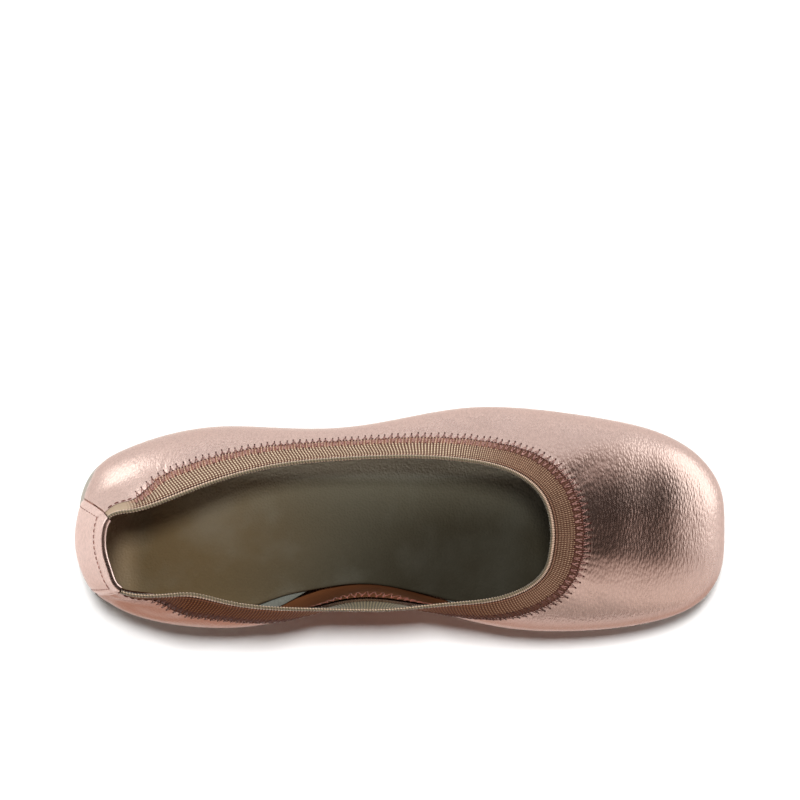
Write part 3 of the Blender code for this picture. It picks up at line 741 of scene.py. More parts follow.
def sock_leather(look):
    """Sheep leather with an olive-bronze foil, worn satin: dull metal with a fine tight grain."""
    made, node = material("olive_foil_sock_leather")
    place = node("TexCoord")["Object"]
    x, y, _ = node("SeparateXYZ", (place,))
    cloud, grain, cells = patterns(node, place, ("Noise", 26, 3.0), ("Noise", 0.5, 4.0, 0.65),
                                   ("Voronoi", 0.9))
    slanting = node("Math", (y, -0.6, x), **TIMES_PLUS)[0]
    # Painted light: the sock is painted paler along its outer edge, under the outer wall and round the
    # heel, where the walls shade it. It also turns darker towards the toe. Each of these runs from none at
    # its start to all at its end.
    forepart, toward_toe, lit_outer_edge, lit_under_outer_wall, lit_heel_rim = (
        node("MapRange", (value, start, end), **SMOOTH)[0]
        for value, start, end in ((x, -85 * MM, -10 * MM), (slanting, -30 * MM, 30 * MM),
                                  (y, -6 * MM, 22 * MM), (y, 12.5 * MM, 19 * MM),
                                  (x, -92 * MM, -106 * MM)))
    # Painted sheen: soft pale patches that stand for the foil's gloss, fading towards the toe
    sheen_patches = node("Math", (cloud, 2.4, -1.15), **TIMES_PLUS, **CLAMPED)[0]
    at_heel = node("Math", (toward_toe, -0.675, 1.0), **TIMES_PLUS)[0]
    sheen_patches = node("Math", (sheen_patches, at_heel), **TIMES)[0]
    tint = laid_over(node, look.heel_colour, (forepart, 1, look.front_colour),
                     (toward_toe, 0.75, linear(SOCK_TOE)), (lit_outer_edge, 0.36, linear(SOCK_OUTER_EDGE_LIGHT)),
                     (lit_under_outer_wall, 0.65, linear(SOCK_OUTER_WALL_LIGHT)), (lit_heel_rim, 0.7, linear(SOCK_HEEL_RIM_LIGHT)),
                     (sheen_patches, 0.24, linear(SOCK_SHEEN)), (grain, 0.2, BLACK))
    gloss = node("Math", (cloud, 0.25, look.roughness - 0.12), **TIMES_PLUS)[0]
    return dress(made, (cells, -0.12), (grain, 0.10), Base_Color=tint, Metallic=0.55, IOR=1.45,
                 Roughness=gloss)


def foam_board(look):
    """Grey EVA foam, skived: chalky, with small open cells."""
    made, node = material("skived_grey_eva_foam")
    cells, = patterns(node, node("TexCoord")["Object"], ("Voronoi", 0.6))
    tint = laid_over(node, look.board_colour, (cells, 1, shade(look.board_colour, 0.7)))
    return dress(made, (cells, -0.08), Base_Color=tint, Roughness=0.95)


def moulded_rubber(look):
    """Moulded thermoplastic rubber: even pale grey, with the fine frost of a sand-blasted mould."""
    made, node = material("moulded_grey_rubber")
    frost, cloud = patterns(node, node("TexCoord")["Object"], ("Noise", 0.4, 4.0), ("Noise", 20, 3.0))
    tint = laid_over(node, look.colour, (cloud, 0.4, shade(look.colour, 0.75)))
    gloss = node("Math", (frost, 0.15, 0.5), **TIMES_PLUS)[0]
    return dress(made, (frost, 0.03), Base_Color=tint, IOR=1.5, Roughness=gloss)


def painted_board():
    """Matt white painted board: no gloss, a faint roller texture, and a glow far from the shoe."""
    made, node = material("rolled_white_paint")
    place = node("TexCoord")["Object"]
    roller, = patterns(node, place, ("Noise", 2.5, 2.0))
    tint = laid_over(node, linear(PAINT), (roller, 1, linear(PAINT_RAISED)))
    away = node("VectorMath", (place,), operation="LENGTH")["Value"]
    glow = node("MapRange", (away, 0.7, 2.6, 0.0, 0.7), **SMOOTH)[0]
    return dress(made, Base_Color=tint, Roughness=0.9, Specular_IOR_Level=0.2,
                 Emission_Color=WHITE, Emission_Strength=glow)


# ---------------------------------------------------------------- settings

def tint_setting(name, about, hex_colour):
    return FloatVectorProperty(name=name, description=about, subtype="COLOR", default=linear(hex_colour))


def share_setting(name, about, value, low=0.05, high=1):
    return FloatProperty(name=name, description=about, subtype="FACTOR", min=low, max=high, default=value)


def length_setting(name, about, value):
    return FloatProperty(name=name, description=about, unit="LENGTH", default=value)


class UpperLook(PropertyGroup):
    """Leather of the upper and of the heel strip."""
    colour: tint_setting("Foil", "Colour of the rose-gold foil", "#ceb4ab")
    edge_colour: tint_setting("Worn foil", "Colour where the foil is a little worn", "#c2a094")
    # Painted shade: the brown laid on the foil's steep inner side, for the shadowed floor it reflects
    painted_shade_colour: tint_setting("Rubbed foil", "Colour of the foil rubbed thin", "#8e5a42")
    # Lighter than the upper's foil: partly the strip's smoother foil, partly painted light
    strip_lit_colour: tint_setting("Strip", "Colour of the heel strip's smoother foil", "#eacec5")
    roughness: share_setting("Roughness", "How blurred the foil's gloss is", 0.27)
    grain_size: length_setting("Grain", "Width of one cell of the grain", 0.72 * MM)
    crease_depth: share_setting("Creases", "Depth of the creases, as a share", 1.0, 0, 3)


class LiningLook(PropertyGroup):
    """The upper's lining."""
    colour: tint_setting("Lining", "Colour of the russet lining", "#6c4228")


class ToplineLook(PropertyGroup):
    """The elastic along the topline and its zigzag."""
    rib_colour: tint_setting("Ribs", "Colour of the gold ribs", "#d2b494")
    warp_colour: tint_setting("Warp", "Colour of the rose warp threads", "#a86e60")
    gap_colour: tint_setting("Gaps", "Colour between the ribs", "#4c3426")
    band_colour: tint_setting("Band", "Colour of the band under the zigzag", "#5a362c")
    back_colour: tint_setting("Back", "Colour of the webbing's inner face", "#8a7c60")
    bead_colour: tint_setting("Bead", "Colour of the edge cord's outer half", "#eac6ac")
    bead_inner_colour: tint_setting("Bead, inner", "Colour of the edge cord's inner half", "#7a6c54")
    thread_colour: tint_setting("Zigzag", "Colour of the zigzag's thread", "#d0a298")
    warp_pitch: length_setting("Warp pitch", "Distance between warp lines", RIB_SPACING)
    rib_height: length_setting("Rib height", "How far the ribs stand up", 0.16 * MM)
    thread: length_setting("Thread", "Diameter of the zigzag's thread", 0.36 * MM)


class InsoleLook(PropertyGroup):
    """Sock and foam board."""
    heel_colour: tint_setting("Heel", "Colour of the sock at the heel", "#847050")
    front_colour: tint_setting("Forepart", "Colour of the sock in front", "#646050")
    board_colour: tint_setting("Foam", "Colour of the foam board", "#74766e")
    roughness: share_setting("Roughness", "How blurred the sock's gloss is", 0.5)
    waves: length_setting("Waves", "Height of the sock's soft undulations", 0.35 * MM)


class SoleLook(PropertyGroup):
    """The moulded sole."""
    colour: tint_setting("Rubber", "Colour of the rubber", "#aca89e")
    groove: length_setting("Groove", "Depth of the grooves in the tread", 0.7 * MM)
    groove_pitch: length_setting("Groove pitch", "Distance between the grooves", 5 * MM)


LOOKS = {"flat_upper": UpperLook, "flat_lining": LiningLook, "flat_topline": ToplineLook,
         "flat_insole": InsoleLook, "flat_sole": SoleLook}


# ---------------------------------------------------------------- seams of the topline

# The webbing lies closer round the throat. MARKS are places along the topline, and WOVEN and SEWN the
# lengths of webbing and of stitching used up to each of them.
MARKS = np.linspace(0, TOPLINE, 1001)
THROAT = ease((MARKS / TOPLINE - 0.33) / 0.08) * ease((0.63 - MARKS / TOPLINE) / 0.08)


def gathered(extra):
    """Lengths used up to each mark, where a share extra is taken in round the throat."""
    step = (1 + extra * THROAT) * TOPLINE / (len(MARKS) - 1)
    return np.concatenate([[0], np.cumsum(0.5 * (step[1:] + step[:-1]))])


WOVEN = gathered(0.55)
SEWN = gathered(0.18)
RIBS = round(WOVEN[-1] / RIB_SPACING)
RIB_PITCH = WOVEN[-1] / RIBS
STITCHES = round(SEWN[-1] / STITCH_LENGTH)
STITCH_PITCH = SEWN[-1] / STITCHES
PLAIN_STITCHES = math.ceil(PLAIN_END / STITCH_PITCH)
ZIGZAG = np.arange(PLAIN_STITCHES, STITCHES - PLAIN_STITCHES)

# The ribs' slant round the topline: the share of the way round, and how far their lower ends lag, in mm
SLANTS = ((0, 0.04, 0.08, 0.18, 0.28, 0.33, 0.45, 0.6, 0.75, 0.9, 1.0),
          (0, 0.8, 2.2, 2.2, 1.9, 0.3, 0, 0, -0.4, -1.8, -0.5))


def rib_slant(place, drop):
    """How far the ribs are pulled along the topline, towards the zigzag."""
    return np.interp(place / TOPLINE, *SLANTS) * MM * ramp(drop, 2, 8)


def from_strip(place):
    """Distance along the topline from the nearer edge of the heel strip."""
    return np.minimum(place, TOPLINE - place)


def lap_line(place):
    """Drop of the seen border between webbing and leather: higher beside the heel strip."""
    return WEBBING_WIDTH - PLAIN_RISE * (1 - ramp(from_strip(place), 9, 16))


def leather_edge(turn):
    """Drop of the leather's edge. Beside the heel strip it covers the webbing's plain end."""
    place = topline_place(turn)
    covers = (turn > WEBBING_FROM) & (turn < WEBBING_TO) & (from_strip(place) < 23 * MM)
    return np.where(covers, lap_line(place), EDGE)


def webbing_thickness(place):
    """The webbing is pressed thin where it runs in under the heel strip."""
    return WEBBING * (0.35 + 0.65 * ramp(from_strip(place), 0, 6))


def pressed(drop):
    """How far the zigzag presses the webbing down at a drop from the topline."""
    return 0.35 * MM * ramp(drop, 8, 4)


def over_webbing(place):
    """How far the leather's face stands off the wall where it covers the webbing's plain end."""
    cover = 1 - ramp(from_strip(place), 17, 7)
    return (GAP + webbing_thickness(place) + 0.15 * MM) * cover


def covering(place, drop):
    """The same at a drop: the leather comes down to the wall below the webbing."""
    return over_webbing(place) * (1 - ramp(drop, 9, 12))


def webbing_lift(place, woven, drop, rib_height, warp_pitch):
    """Height of the webbing's outer face over the wall: ribs, warp rungs and a thin sewn-down edge."""
    rib, rung = pulse(woven, RIB_PITCH), pulse(drop, warp_pitch)
    thick = webbing_thickness(place) - pressed(drop) - 0.25 * MM * (drop > 12.1 * MM)
    line = hill(drop - 1.65 * MM, 0.25 * MM)
    weave = np.maximum(rib * (0.55 + 0.45 * rung), 0.25 * rung)
    plain = ramp(from_strip(place), 8, 5)
    return GAP + thick - rib_height * (1 - weave) * plain - 0.3 * MM * line


def uneven(along, row):
    """The needle wanders a little: places along the seam and drops, made uneven."""
    return (along + 0.13 * MM * np.sin(along / (0.83 * MM) + row / (1.1 * MM)),
            row + 0.22 * MM * np.sin(along / (1.37 * MM)))


# ---------------------------------------------------------------- upper

# Creases seen from above: middle (x, y), heading from +X, length, width and depth, in mm and degrees.
# A positive depth is a trough, a negative one a ridge.
Crease = namedtuple("Crease", "x y heading length width depth")
CREASES = (
    Crease(88, 8, 84, 44, 6.5, 0.21),
    Crease(98, 0, 95, 40, 6.0, -0.12),
    Crease(72, -6, 75, 30, 5.0, 0.12),
    Crease(66, 18, 40, 20, 2.8, 0.08),
    Crease(67, -26, -38, 22, 2.8, 0.10),
    Crease(58, 26, 28, 24, 3.0, 0.06),
    Crease(14, 35, -18, 22, 1.4, 0.14),
    Crease(24, 36, -22, 16, 1.2, 0.12),
    Crease(6, 33, -12, 14, 1.2, -0.10),
    Crease(-67, 24, 70, 9, 0.8, 0.07),
    Crease(-70, 24, 74, 8, 0.8, -0.05),
    Crease(-84, 19, 78, 8, 0.8, 0.07),
    Crease(-86, 18, 80, 8, 0.8, -0.05),
    Crease(-91, 15, 76, 7, 0.8, 0.06),
)


def creased(points, normals):
    """How far the leather sinks (+) at points of the wall, from the table of creases."""
    sunk = np.zeros(points.shape[:-1])
    for crease in CREASES:
        heading, length, width = math.radians(crease.heading), crease.length * MM, crease.width * MM
        dx, dy = points[..., 0] - crease.x * MM, points[..., 1] - crease.y * MM
        along = dx * math.cos(heading) + dy * math.sin(heading)
        off = -dx * math.sin(heading) + dy * math.cos(heading) + 0.02 * along ** 2 / length
        banks = hill(np.abs(off) - 1.7 * width, width)
        sunk += crease.depth * MM * hill(along, length / 2) * (hill(off, width) - 0.45 * banks)
    return sunk * ease(np.clip(normals[..., 2], 0, 1) * 2.5)


def leather_lift(turn, drops, points, normals, crease_depth):
    """How far the leather's face stands off the wall: puckers between the stitches, pleats, creases."""
    turn = turn[:, None]
    place = topline_place(turn)
    inside = (turn > WEBBING_FROM - GAP) & (turn < WEBBING_TO + GAP)
    sewn = ramp(from_strip(place) - PLAIN_END, 0, 4) * inside
    between_stitches = pulse(np.interp(place, MARKS, SEWN), STITCH_PITCH)
    pucker = PUCKER * between_stitches * hill(drops - PUCKER_ROW, 1.9 * MM)
    ripple = 0.02 * MM * (between_stitches - 0.5) * hill(np.clip(drops - PUCKER_ROW, 0, None), 5 * MM)
    dent = 0.06 * MM * hill(drops - 15.2 * MM, 1.6 * MM)
    lift = sewn * (pucker + ripple - dent)
    to_feather = wall_depth(turn[:, 0]) - drops
    pleat = np.sin(turn * 2 * math.pi / (5.2 * MM)) + 0.6 * np.sin(turn * 2 * math.pi / (3.4 * MM))
    lift = lift + PLEAT * pleat * hill(to_feather, 5 * MM) + covering(place, drops) * inside
    beside = 0.55 * MM * (1 - ramp(from_strip(place), 0, 6)) * inside
    lift = lift + beside * ramp(drops, 12, 5) * ramp(to_feather, 3, 4)
    return lift - crease_depth * creased(points, normals)


class BALLET_FLAT_OT_upper(Operator):
    """Builds the leather upper and its lining"""
    bl_idname = "ballet_flat.upper"
    bl_label = "Upper and lining"

    def execute(self, context):
        look = context.scene.flat_upper
        turn = np.linspace(0, PERIOD, 1200, endpoint=False)
        depth = wall_depth(turn)
        edge = leather_edge(turn)[:, None]
        drops = edge + (depth - edge) * np.linspace(0, 1, 50) ** 1.25
        spots, normals = wall(turn, drops)
        lift = leather_lift(turn, drops, spots, normals, look.crease_depth)
        outer = spots + normals * lift[..., None]
        spots, normals = wall(turn, edge + (depth - edge) * np.linspace(1, 0, 9))
        inner = spots - normals * LEATHER
        margin = outer[:, -1] - outward(turn, OUT) * LASTING
        margin[:, 2] = sole_top(margin[:, 0]) + GAP
        loops = np.concatenate([outer, margin[:, None], (margin + UP * LEATHER)[:, None], inner], axis=1)
        leather = foil_nappa("rose_foil_nappa", look, look.colour, 1.0, 1.0)
        upper = add_piece("upper_leather", loops, hoop(loops, True), [leather])
        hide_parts("upper")

        turn, depth = turn[::3], depth[::3]
        spots, normals = wall(turn, EDGE + (depth - 0.4 * MM - EDGE) * np.linspace(0, 1, 24))
        behind = (spots - normals * (LEATHER + 0.05 * MM))[:, ::-4]
        loops = np.concatenate([spots - normals * WALL, behind], axis=1)
        leather = lining_leather(context.scene.flat_lining)
        lining = add_piece("upper_lining", loops, hoop(loops, True), [leather])
        return {"FINISHED"}


# ---------------------------------------------------------------- topline

class BALLET_FLAT_OT_topline(Operator):
    """Builds the elastic topline, its beaded edge and its zigzag stitching"""
    bl_idname = "ballet_flat.topline"
    bl_label = "Elastic topline"

    def execute(self, context):
        look = context.scene.flat_topline
        self.webbing(look)
        self.selvage(look)
        self.zigzag(look)
        self.holes()
        self.plain_stitches()
        return {"FINISHED"}

    def webbing(self, look):
        """The ribbed webbing, its outer face and its back."""
        woven = np.linspace(0, WOVEN[-1], RIBS * 4 + 1)[:, None]
        place = np.interp(woven, WOVEN, MARKS)
        face = np.arange(1.0, 12.0, look.warp_pitch / MM / 3)
        face = np.concatenate([face, [12.1, WEBBING_WIDTH / MM]]) * MM
        back = face[::-3]
        drops = np.concatenate([face, back])
        slanted = woven + rib_slant(place, drops)
        rise = webbing_lift(place, slanted[:, :len(face)], face, look.rib_height, look.warp_pitch)
        ribs = 0.06 * MM * np.cos(2 * math.pi * woven / RIB_PITCH)
        lift = np.concatenate([rise, np.repeat(GAP - 0.06 * MM + ribs, len(back), axis=1)], axis=1)
        spots, normals = wall(topline_turn(place[:, 0]), drops)
        loops = spots + normals * lift[..., None]
        mapped_drop = drops + (WEBBING_WIDTH - lap_line(place)) * ramp(drops, 3, 3)
        faces = hoop(loops, False)
        slots = [int(max(corner % len(drops) for corner in corners) >= len(face)) for corners in faces]
        webbing = add_piece("elastic_webbing", loops, faces, [webbing_finish(look), elastic_back(look)],
                            uv=np.stack([slanted, mapped_drop], axis=-1) / CM, slots=slots)
        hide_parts("elastic_binding")

    def selvage(self, look):
        """The beaded edge: covering yarn whipped round the webbing's edge cord."""
        woven = np.linspace(0, WOVEN[-1], RIBS * 5 + 1)
        turn = topline_turn(np.interp(woven, WOVEN, MARKS))
        middle, normals = wall_spots(turn, 0.72 * MM)
        side = unit(wall_spots(turn, 0.1 * MM)[0] - middle)
        angle = circle(CORD_SIDES)[None, :]
        phase = 2 * math.pi * woven[:, None] / RIB_PITCH + 0.9 * np.sin(angle)
        girth = 1 + 0.16 * np.cos(phase)
        loops = ellipses(middle + normals * (GAP + 0.45 * MM), side, normals, angle,
                         girth * CORD_WIDE, girth * CORD_HIGH)
        chart = np.stack([phase / (2 * math.pi), np.broadcast_to(angle / math.pi, phase.shape)], axis=-1)
        edge = add_piece("elastic_beaded_edge", loops, tube(len(turn), CORD_SIDES), [beaded_yarn(look)],
                         uv=chart)

    def zigzag(self, look):
        """Three-step zigzag through webbing and leather, seen outside and inside."""
        rows = np.array((INNER_ROW, MIDDLE_ROW, OUTER_ROW, MIDDLE_ROW, INNER_ROW))[:, None]
        places = (ZIGZAG + np.arange(5)[:, None] / 4) * STITCH_PITCH
        corners = np.stack(np.broadcast_arrays(places, rows), axis=-1)
        chart = between(corners[:-1].reshape(-1, 2), corners[1:].reshape(-1, 2), 8)
        along, wandering = uneven(chart[..., 0], chart[..., 1])
        row = chart[..., 1]
        place = np.interp(along, SEWN, MARKS)
        bulge = arch(8) ** 0.6
        girth = look.thread / 2 * (1.25 - 0.65 * np.clip((row - 12.4 * MM) / (1.2 * MM), 0, 1))

        drop = wandering + lap_line(place) - WEBBING_WIDTH
        spots, normals = wall_spots(topline_turn(place), drop)
        ground = GAP + WEBBING - 0.15 * MM - pressed(drop)
        ground = np.where(row > WEBBING_WIDTH, ground * ramp(OUTER_ROW - row, 0, 2.5), ground)
        ground = np.maximum(ground, covering(place, drop) * (row > WEBBING_WIDTH - 0.5 * MM))
        lift = ground + (0.34 * bulge - 0.16) * MM + 0.1 * over_webbing(place)
        thread = yarn("rose_polyester_thread", look.thread_colour, ZIGZAG_DARK, 0.6, ZIGZAG_INNER_SHADE)
        outside = sew("zigzag_outside", spots, normals, lift, girth, 6, thread)

        spots, normals = wall_spots(topline_turn(place), wandering)
        lift = -WALL - (0.28 * bulge - 0.12) * MM
        thread = yarn("rust_polyester_thread", linear(INSIDE_THREAD), ZIGZAG_DARK)
        inside = sew("zigzag_inside", spots, normals, lift, girth, 5, thread)

    def plain_stitches(self):
        """Straight stitches that hold the leather over the webbing's plain ends."""
        begin = np.arange(1.4 * MM, PLAIN_END, 2.4 * MM)[:, None]
        place = begin + 1.8 * MM * np.linspace(0, 1, 6)
        place = np.concatenate([place, TOPLINE - place])
        turn = topline_turn(place)
        spots, normals = wall_spots(turn, leather_edge(turn) + 0.8 * MM)
        lift = over_webbing(place) - 0.12 * MM + 0.2 * MM * arch(6)
        thread = yarn("dark_rose_polyester_thread", linear(PLAIN_THREAD), PLAIN_DARK)
        piece = sew("plain_end_stitches", spots, normals, lift, 0.2 * MM, 6, thread)

    def holes(self):
        """Needle holes: a dark drawn-out dimple at each turn of the zigzag."""
        turns = ((0, INNER_ROW, 0.40, 0.30), (1, MIDDLE_ROW, 0.46, 0.34), (3, MIDDLE_ROW, 0.46, 0.34),
                 (2, OUTER_ROW + 0.15 * MM, 0.42, 0.28))
        along, row, long, wide = np.array([((stitch + step / 4) * STITCH_PITCH, row, long * MM, wide * MM)
                                           for step, row, long, wide in turns for stitch in ZIGZAG]).T
        on_webbing = row < WEBBING_WIDTH
        along, row = uneven(along, row)
        place = np.interp(along, SEWN, MARKS)
        drop = row + lap_line(place) - WEBBING_WIDTH
        turn = topline_turn(place)
        middle, normals = wall_spots(turn, drop)
        down = unit(middle - wall_spots(turn, drop - 0.3 * MM)[0])
        lift = np.where(on_webbing, GAP + WEBBING - pressed(drop) + 0.02 * MM,
                        0.10 * MM + covering(place, drop))
        centre = middle + normals * lift[:, None]
        ring = ellipses(centre, down, np.cross(down, normals), circle(HOLE_SIDES),
                        long[:, None], wide[:, None])
        points = np.concatenate([ring, (centre + normals * 0.04 * MM)[:, None],
                                 (centre - normals * 0.1 * MM)[:, None]], axis=1)
        faces = []
        for start in range(0, len(turn) * (HOLE_SIDES + 2), HOLE_SIDES + 2):
            for spot in range(start, start + HOLE_SIDES):
                after = start + (spot + 1 - start) % HOLE_SIDES
                faces.append([spot, after, start + HOLE_SIDES])
                faces.append([after, spot, start + HOLE_SIDES + 1])
        piece = add_piece("needle_holes", points, faces, [needle_shade()])


# ---------------------------------------------------------------- heel strip

class BALLET_FLAT_OT_heel_strip(Operator):
    """Builds the heel strip, with its rolled casing and its stitches"""
    bl_idname = "ballet_flat.heel_strip"
    bl_label = "Heel strip"

    def execute(self, context):
        look = context.scene.flat_upper
        start = section_place("strip edge, medial") - PERIOD + GAP
        end = section_place("strip edge, lateral") - GAP
        turn = np.linspace(start, end, 97)
        rows = EDGE + (wall_depth(turn) - STRIP_END - EDGE) * np.linspace(0, 1, 40)
        below = rows[:, 1:]
        seat = rows[:, :1] - GAP
        neck = seat * np.linspace(1, 0.15, 8)
        # The casing's roll is squarer on its outer side than on its inner side
        roll = np.linspace(0, math.pi, 17)
        outer_half = np.cos(roll) > 0
        crown = np.sin(roll) ** np.where(outer_half, 0.5, 0.8)
        reach = np.sign(np.cos(roll)) * np.abs(np.cos(roll)) ** np.where(outer_half, 0.6, 0.9)
        roll_drop = np.tile(CASING / 2 * (1 - crown), (len(turn), 1))
        drops = np.concatenate([below[:, ::-1], neck, roll_drop, neck[:, ::-1], seat, below], axis=1)

        outside = GAP + STRIP
        side = np.minimum(turn - start, end - turn)[:, None]
        sewn_down = 1 - ramp(side, 0, 2.2)
        rounded = 0.85 * MM * sewn_down
        groove = 0.35 * MM * hill(below - CASING_ROW, 0.8 * MM)
        seam = 0.22 * MM * hill(side - SIDE_ROW, 0.9 * MM)
        face = outside - groove[:, ::-1] - rounded - seam
        neck_face = outside + 0.2 * MM * arch(8) - rounded
        bead = np.tile(outside - CASING / 2 * (1 - reach), (len(turn), 1))
        inner = np.full((len(turn), 9), outside - CASING)
        under = np.repeat(GAP * (1 - 0.95 * sewn_down), below.shape[1], axis=1)
        lift = np.concatenate([face, neck_face, bead, inner, under], axis=1)
        spots, normals = wall(turn, drops)
        loops = spots + normals * lift[..., None]
        leather = foil_nappa("rose_foil_nappa_strip", look, look.strip_lit_colour, 0.45, 0.3)
        strip = add_piece("heel_strip_leather", loops, hoop(loops, False), [leather])
        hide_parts("heel_strip")
        self.stitches(start, end)
        return {"FINISHED"}

    def stitches(self, start, end):
        """Short stitches: one row under the casing and one along each side of the strip."""
        begin, finish = [], []
        for place in np.arange(start + 3 * MM, end - 4 * MM, STRIP_STITCH):
            begin.append((place, CASING_ROW))
            finish.append((place + STRIP_THREAD, CASING_ROW))
        for side in (start + SIDE_ROW, end - SIDE_ROW):
            for drop in np.arange(3 * MM, 42 * MM, STRIP_STITCH):
                begin.append((side, drop))
                finish.append((side, drop + STRIP_THREAD))
        chart = between(np.array(begin), np.array(finish), 6)
        spots, normals = wall_spots(chart[..., 0], chart[..., 1])
        lift = GAP + STRIP - 0.28 * MM + 0.16 * MM * arch(6)
        thread = yarn("dusky_polyester_thread", linear(HEEL_THREAD), HEEL_DARK)
        piece = sew("heel_strip_stitches", spots, normals, lift, 0.17 * MM, 6, thread)


# ---------------------------------------------------------------- insole and sole

def insole_base(x):
    return sole_top(x) + GAP + WALL + GAP


def insole_rim(turn):
    turn_in = np.mod(turn, PERIOD)
    waist = hill(turn_in - section_place("waist, medial"), 22 * MM)
    behind = (section_place("arch back, medial") + section_place("quarter swell, medial")) / 2
    inset = INSOLE_SIDE - 1.5 * MM * waist + 1.4 * MM * hill(turn_in - behind, 13 * MM)
    return feather(turn) - outward(turn, OUT) * inset[:, None]


def board_rim(turn):
    """The foam board's rim: it stands out beyond the sock at both ends of the inner waist."""
    turn_in = np.mod(turn, PERIOD)
    back = turn_in - section_place("quarter swell, medial")
    front = turn_in - section_place("joint back, medial")
    reach = 3.2 * MM * hill(back + 5 * MM, 15 * MM) + 1.6 * MM * hill(front, 8 * MM) - 0.8 * MM
    return feather(turn) - outward(turn, OUT) * (INSOLE_SIDE - reach)[:, None]


def sole_rim(turn):
    return feather(turn) + outward(turn, OUT) * closed_spline(KNOTS, RING, turn)[:, RIM, None]


class BALLET_FLAT_OT_insole(Operator):
    """Builds the sock and the foam board that it covers"""
    bl_idname = "ballet_flat.insole"
    bl_label = "Insole"

    def execute(self, context):
        look = context.scene.flat_insole

        def sock_face(spots, inside):
            """The sock's top: cupped at the heel, with soft undulations where it bridges the filler."""
            x, y = spots[:, 0], spots[:, 1]
            near_rim = np.clip(1 - inside / (10 * MM), 0, 1) ** 2
            cup = INSOLE_CUP * near_rim * ease((-0.1 * LENGTH - x) / (0.25 * LENGTH))
            wave = 0.55 * np.sin(x * 95 + y * 60 + 0.6) + 0.45 * np.sin(y * 150 - x * 48 + 1.1)
            wave = look.waves * wave * ramp(x, -85, 50) * ramp(inside, 0, 6)
            return insole_base(x) + INSOLE + cup + wave

        def sock_back(spots, inside):
            return sock_face(spots, inside) - SOCK

        def board_top(spots, inside):
            return insole_base(spots[:, 0]) + INSOLE - SOCK - 0.1 * MM

        def board_back(spots, inside):
            return insole_base(spots[:, 0])

        levels = [(inset * MM, OVER, rise * MM)
                  for inset, rise in ((1.2, -1.3), (0.3, -1.2), (0.05, -0.9), (0, -0.6), (0.15, -0.25),
                                      (0.5, -0.05), (1.0, 0))]
        sock = slab("insole_sock", insole_rim, 300, 56, (), levels, (sock_back, sock_face),
                    sock_leather(look))
        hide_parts("insole")
        plug = LASTING - INSOLE_SIDE + GAP
        levels = ((plug + GAP, UNDER, -WALL - GAP), (plug, UNDER, 0), (3.0 * MM, UNDER, 0.3 * MM),
                  (0.2 * MM, UNDER, 0.9 * MM), (0.05 * MM, OVER, -0.3 * MM), (0.4 * MM, OVER, 0))
        board = slab("insole_board", board_rim, 160, 10, (), levels, (board_back, board_top),
                     foam_board(look))
        return {"FINISHED"}


class BALLET_FLAT_OT_sole(Operator):
    """Builds the moulded sole with its lip and grooved tread"""
    bl_idname = "ballet_flat.sole"
    bl_label = "Sole"

    def execute(self, context):
        look = context.scene.flat_sole

        def top(spots, inside):
            return sole_top(spots[:, 0])

        def tread(spots, inside):
            x = spots[:, 0]
            off = np.abs(np.mod(x / look.groove_pitch, 1) - 0.5) * look.groove_pitch
            cut = ramp(1.1 * MM - off, 0, 0.5) * ramp(inside, 6, 1.2)
            grooved = ((x < BREAST - 6 * MM) | (x > BALL_BACK - 6 * MM)) & (x < LENGTH / 2 - 12 * MM)
            return sole_bottom(x) + look.groove * cut * grooved

        levels = [(2.6 * MM, UNDER, 0)]
        for inset, rise in ((1.5, 0), (0.8, 0.1), (0.35, 0.32), (0.1, 0.65), (0, 1)):
            levels.append((inset * SOLE_EDGE + LIP, UNDER, rise * SOLE_EDGE))
        for inset, rise in ((1, -1), (0.6, -0.5), (0.1, 0.2), (0, 0.6)):
            levels.append((inset * LIP, OVER, rise * LIP - LIP_HEIGHT))
        for inset, rise in ((0, -0.5), (0.15, -0.15), (0.6, 0)):
            levels.append((inset * LIP, OVER, rise * LIP))
        steps = (BREAST, BREAST + BREAST_SLOPE / 2, BREAST + BREAST_SLOPE)
        sole = slab("moulded_sole", sole_rim, 420, 22, steps, levels, (tread, top), moulded_rubber(look))
        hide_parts("sole")
        return {"FINISHED"}


# ---------------------------------------------------------------- stage

# The lamps: place and size in metres. mirrored is whether a lamp shows in glossy faces.
Softbox = namedtuple("Softbox", "name place width height watts colour mirrored")
SOFTBOXES = (
    Softbox("toe softbox", (1.10, 0.58, 0.36), 1.3, 0.7, 4.7, "#f4ffff", True),
    Softbox("heel softbox", (-0.95, 0.80, 0.32), 1.15, 0.65, 4.3, "#f4ffff", True),
    Softbox("overhead softbox", (-0.05, 1.68, 6.0), 1.2, 1.2, 420.0, "#ffffff", False),
    Softbox("fill softbox", (0.20, -0.90, 0.80), 0.8, 0.8, 1.3, "#ffccbe", False),
)
AIM = Vector((0, 0, 0.02))
FLOOR_HALF = 4.0
CAMERA_HEIGHT = 1.1
CAMERA_Y = 0.0432
LENS = 133.9
SENSOR = 36
DARK_AXIS = (0.290, 0.175, 0.941)   # where the room is dark, a little off straight overhead
ROOM_LIGHT = 0.030                  # what is left there


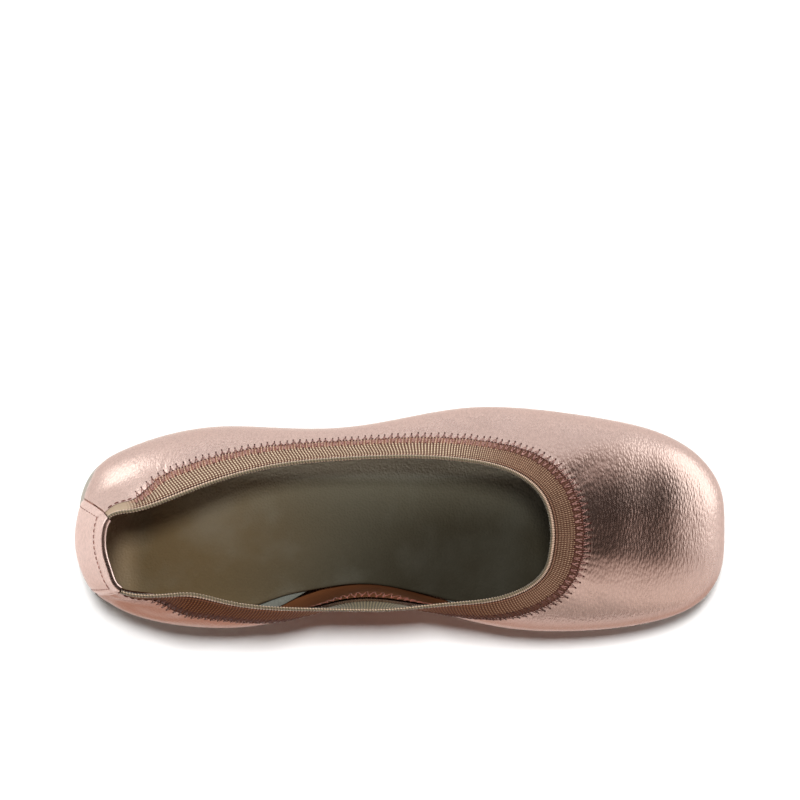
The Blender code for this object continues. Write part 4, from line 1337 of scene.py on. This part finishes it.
class BALLET_FLAT_OT_stage(Operator):
    """Builds the white floor, the soft lights and the camera"""
    bl_idname = "ballet_flat.stage"
    bl_label = "Stage"

    def execute(self, context):
        scene = context.scene
        mesh = bpy.data.meshes.new("floor")
        corners = [(x * FLOOR_HALF, y * FLOOR_HALF, 0) for x, y in ((-1, -1), (1, -1), (1, 1), (-1, 1))]
        mesh.from_pydata(corners, [], [(0, 1, 2, 3)])
        mesh.materials.append(painted_board())
        floor = new_object("floor", mesh)
        floor.location.z = -0.1 * MM
        for softbox in SOFTBOXES:
            light = bpy.data.lights.new(softbox.name, "AREA")
            light.shape = "RECTANGLE"
            light.size, light.size_y = softbox.width, softbox.height
            light.energy, light.color = softbox.watts, linear(softbox.colour)
            box = new_object(softbox.name, light)
            box.location = softbox.place
            box.rotation_euler = (AIM - Vector(softbox.place)).to_track_quat("-Z", "Y").to_euler()
            box.visible_glossy = softbox.mirrored
        self.room(scene)
        camera = bpy.data.cameras.new("camera")
        camera.lens, camera.sensor_width = LENS, SENSOR
        scene.camera = new_object("camera", camera)
        scene.camera.location = (0, CAMERA_Y, CAMERA_HEIGHT)
        scene.view_settings.view_transform = "Standard"
        return {"FINISHED"}

    def room(self, scene):
        """A pale room, dim overhead and brighter towards the lit side."""
        world = bpy.data.worlds.new("room")
        scene.world = world
        world.use_nodes = True
        world.cycles_visibility.diffuse = False
        world.node_tree.nodes.clear()
        node = partial(add_node, world.node_tree)
        way = node("TexCoord")["Generated"]
        y = node("SeparateXYZ", (way,))[1]
        overhead = node("VectorMath", (way, DARK_AXIS), operation="DOT_PRODUCT")["Value"]
        low = node("MapRange", (overhead, 0.62, 0.93, 1.0, 0.0), **SMOOTH)[0]
        lit = node("MapRange", (y, -1.05, -0.70, 0.42, 1.1), **SMOOTH)[0]
        strength = node("Math", (low, lit, ROOM_LIGHT), **TIMES_PLUS)[0]
        tone = node("Math", (y, 1.2, 0.9), **TIMES_PLUS, **CLAMPED)[0]
        tone = node("Mix", {0: tone, 6: linear(ROOM_WARM), 7: WHITE}, **COLOURS)[2]
        tone = node("Mix", {0: low, 6: linear(ROOM_DIM), 7: tone}, **COLOURS)[2]
        glow = node("Background", {"Color": tone, "Strength": strength})[0]
        node("OutputWorld", {"Surface": glow})


# ---------------------------------------------------------------- panel and registration

OPERATORS = (BALLET_FLAT_OT_stage, BALLET_FLAT_OT_upper, BALLET_FLAT_OT_topline,
             BALLET_FLAT_OT_heel_strip, BALLET_FLAT_OT_insole, BALLET_FLAT_OT_sole)


class BALLET_FLAT_PT_pieces(Panel):
    """Lists the shoe's pieces and their settings"""
    bl_idname = "BALLET_FLAT_PT_pieces"
    bl_label = "Ballet flat"
    bl_space_type = "VIEW_3D"
    bl_region_type = "UI"
    bl_category = "Ballet flat"

    def draw(self, context):
        for operator in OPERATORS:
            self.layout.operator(operator.bl_idname)
        for name, look in LOOKS.items():
            box = self.layout.box()
            box.label(text=look.__doc__)
            for key in look.__annotations__:
                box.prop(getattr(context.scene, name), key)


def register():
    for look in LOOKS.values():
        bpy.utils.register_class(look)
    for name, look in LOOKS.items():
        setattr(bpy.types.Scene, name, PointerProperty(type=look))
    for kind in (*OPERATORS, BALLET_FLAT_PT_pieces):
        bpy.utils.register_class(kind)


def unregister():
    for kind in (BALLET_FLAT_PT_pieces, *reversed(OPERATORS)):
        bpy.utils.unregister_class(kind)
    for name, look in LOOKS.items():
        delattr(bpy.types.Scene, name)
        bpy.utils.unregister_class(look)


def main():
    register()
    for operator in OPERATORS:
        group, name = operator.bl_idname.split(".")
        getattr(getattr(bpy.ops, group), name)()


if __name__ == "__main__":
    main()
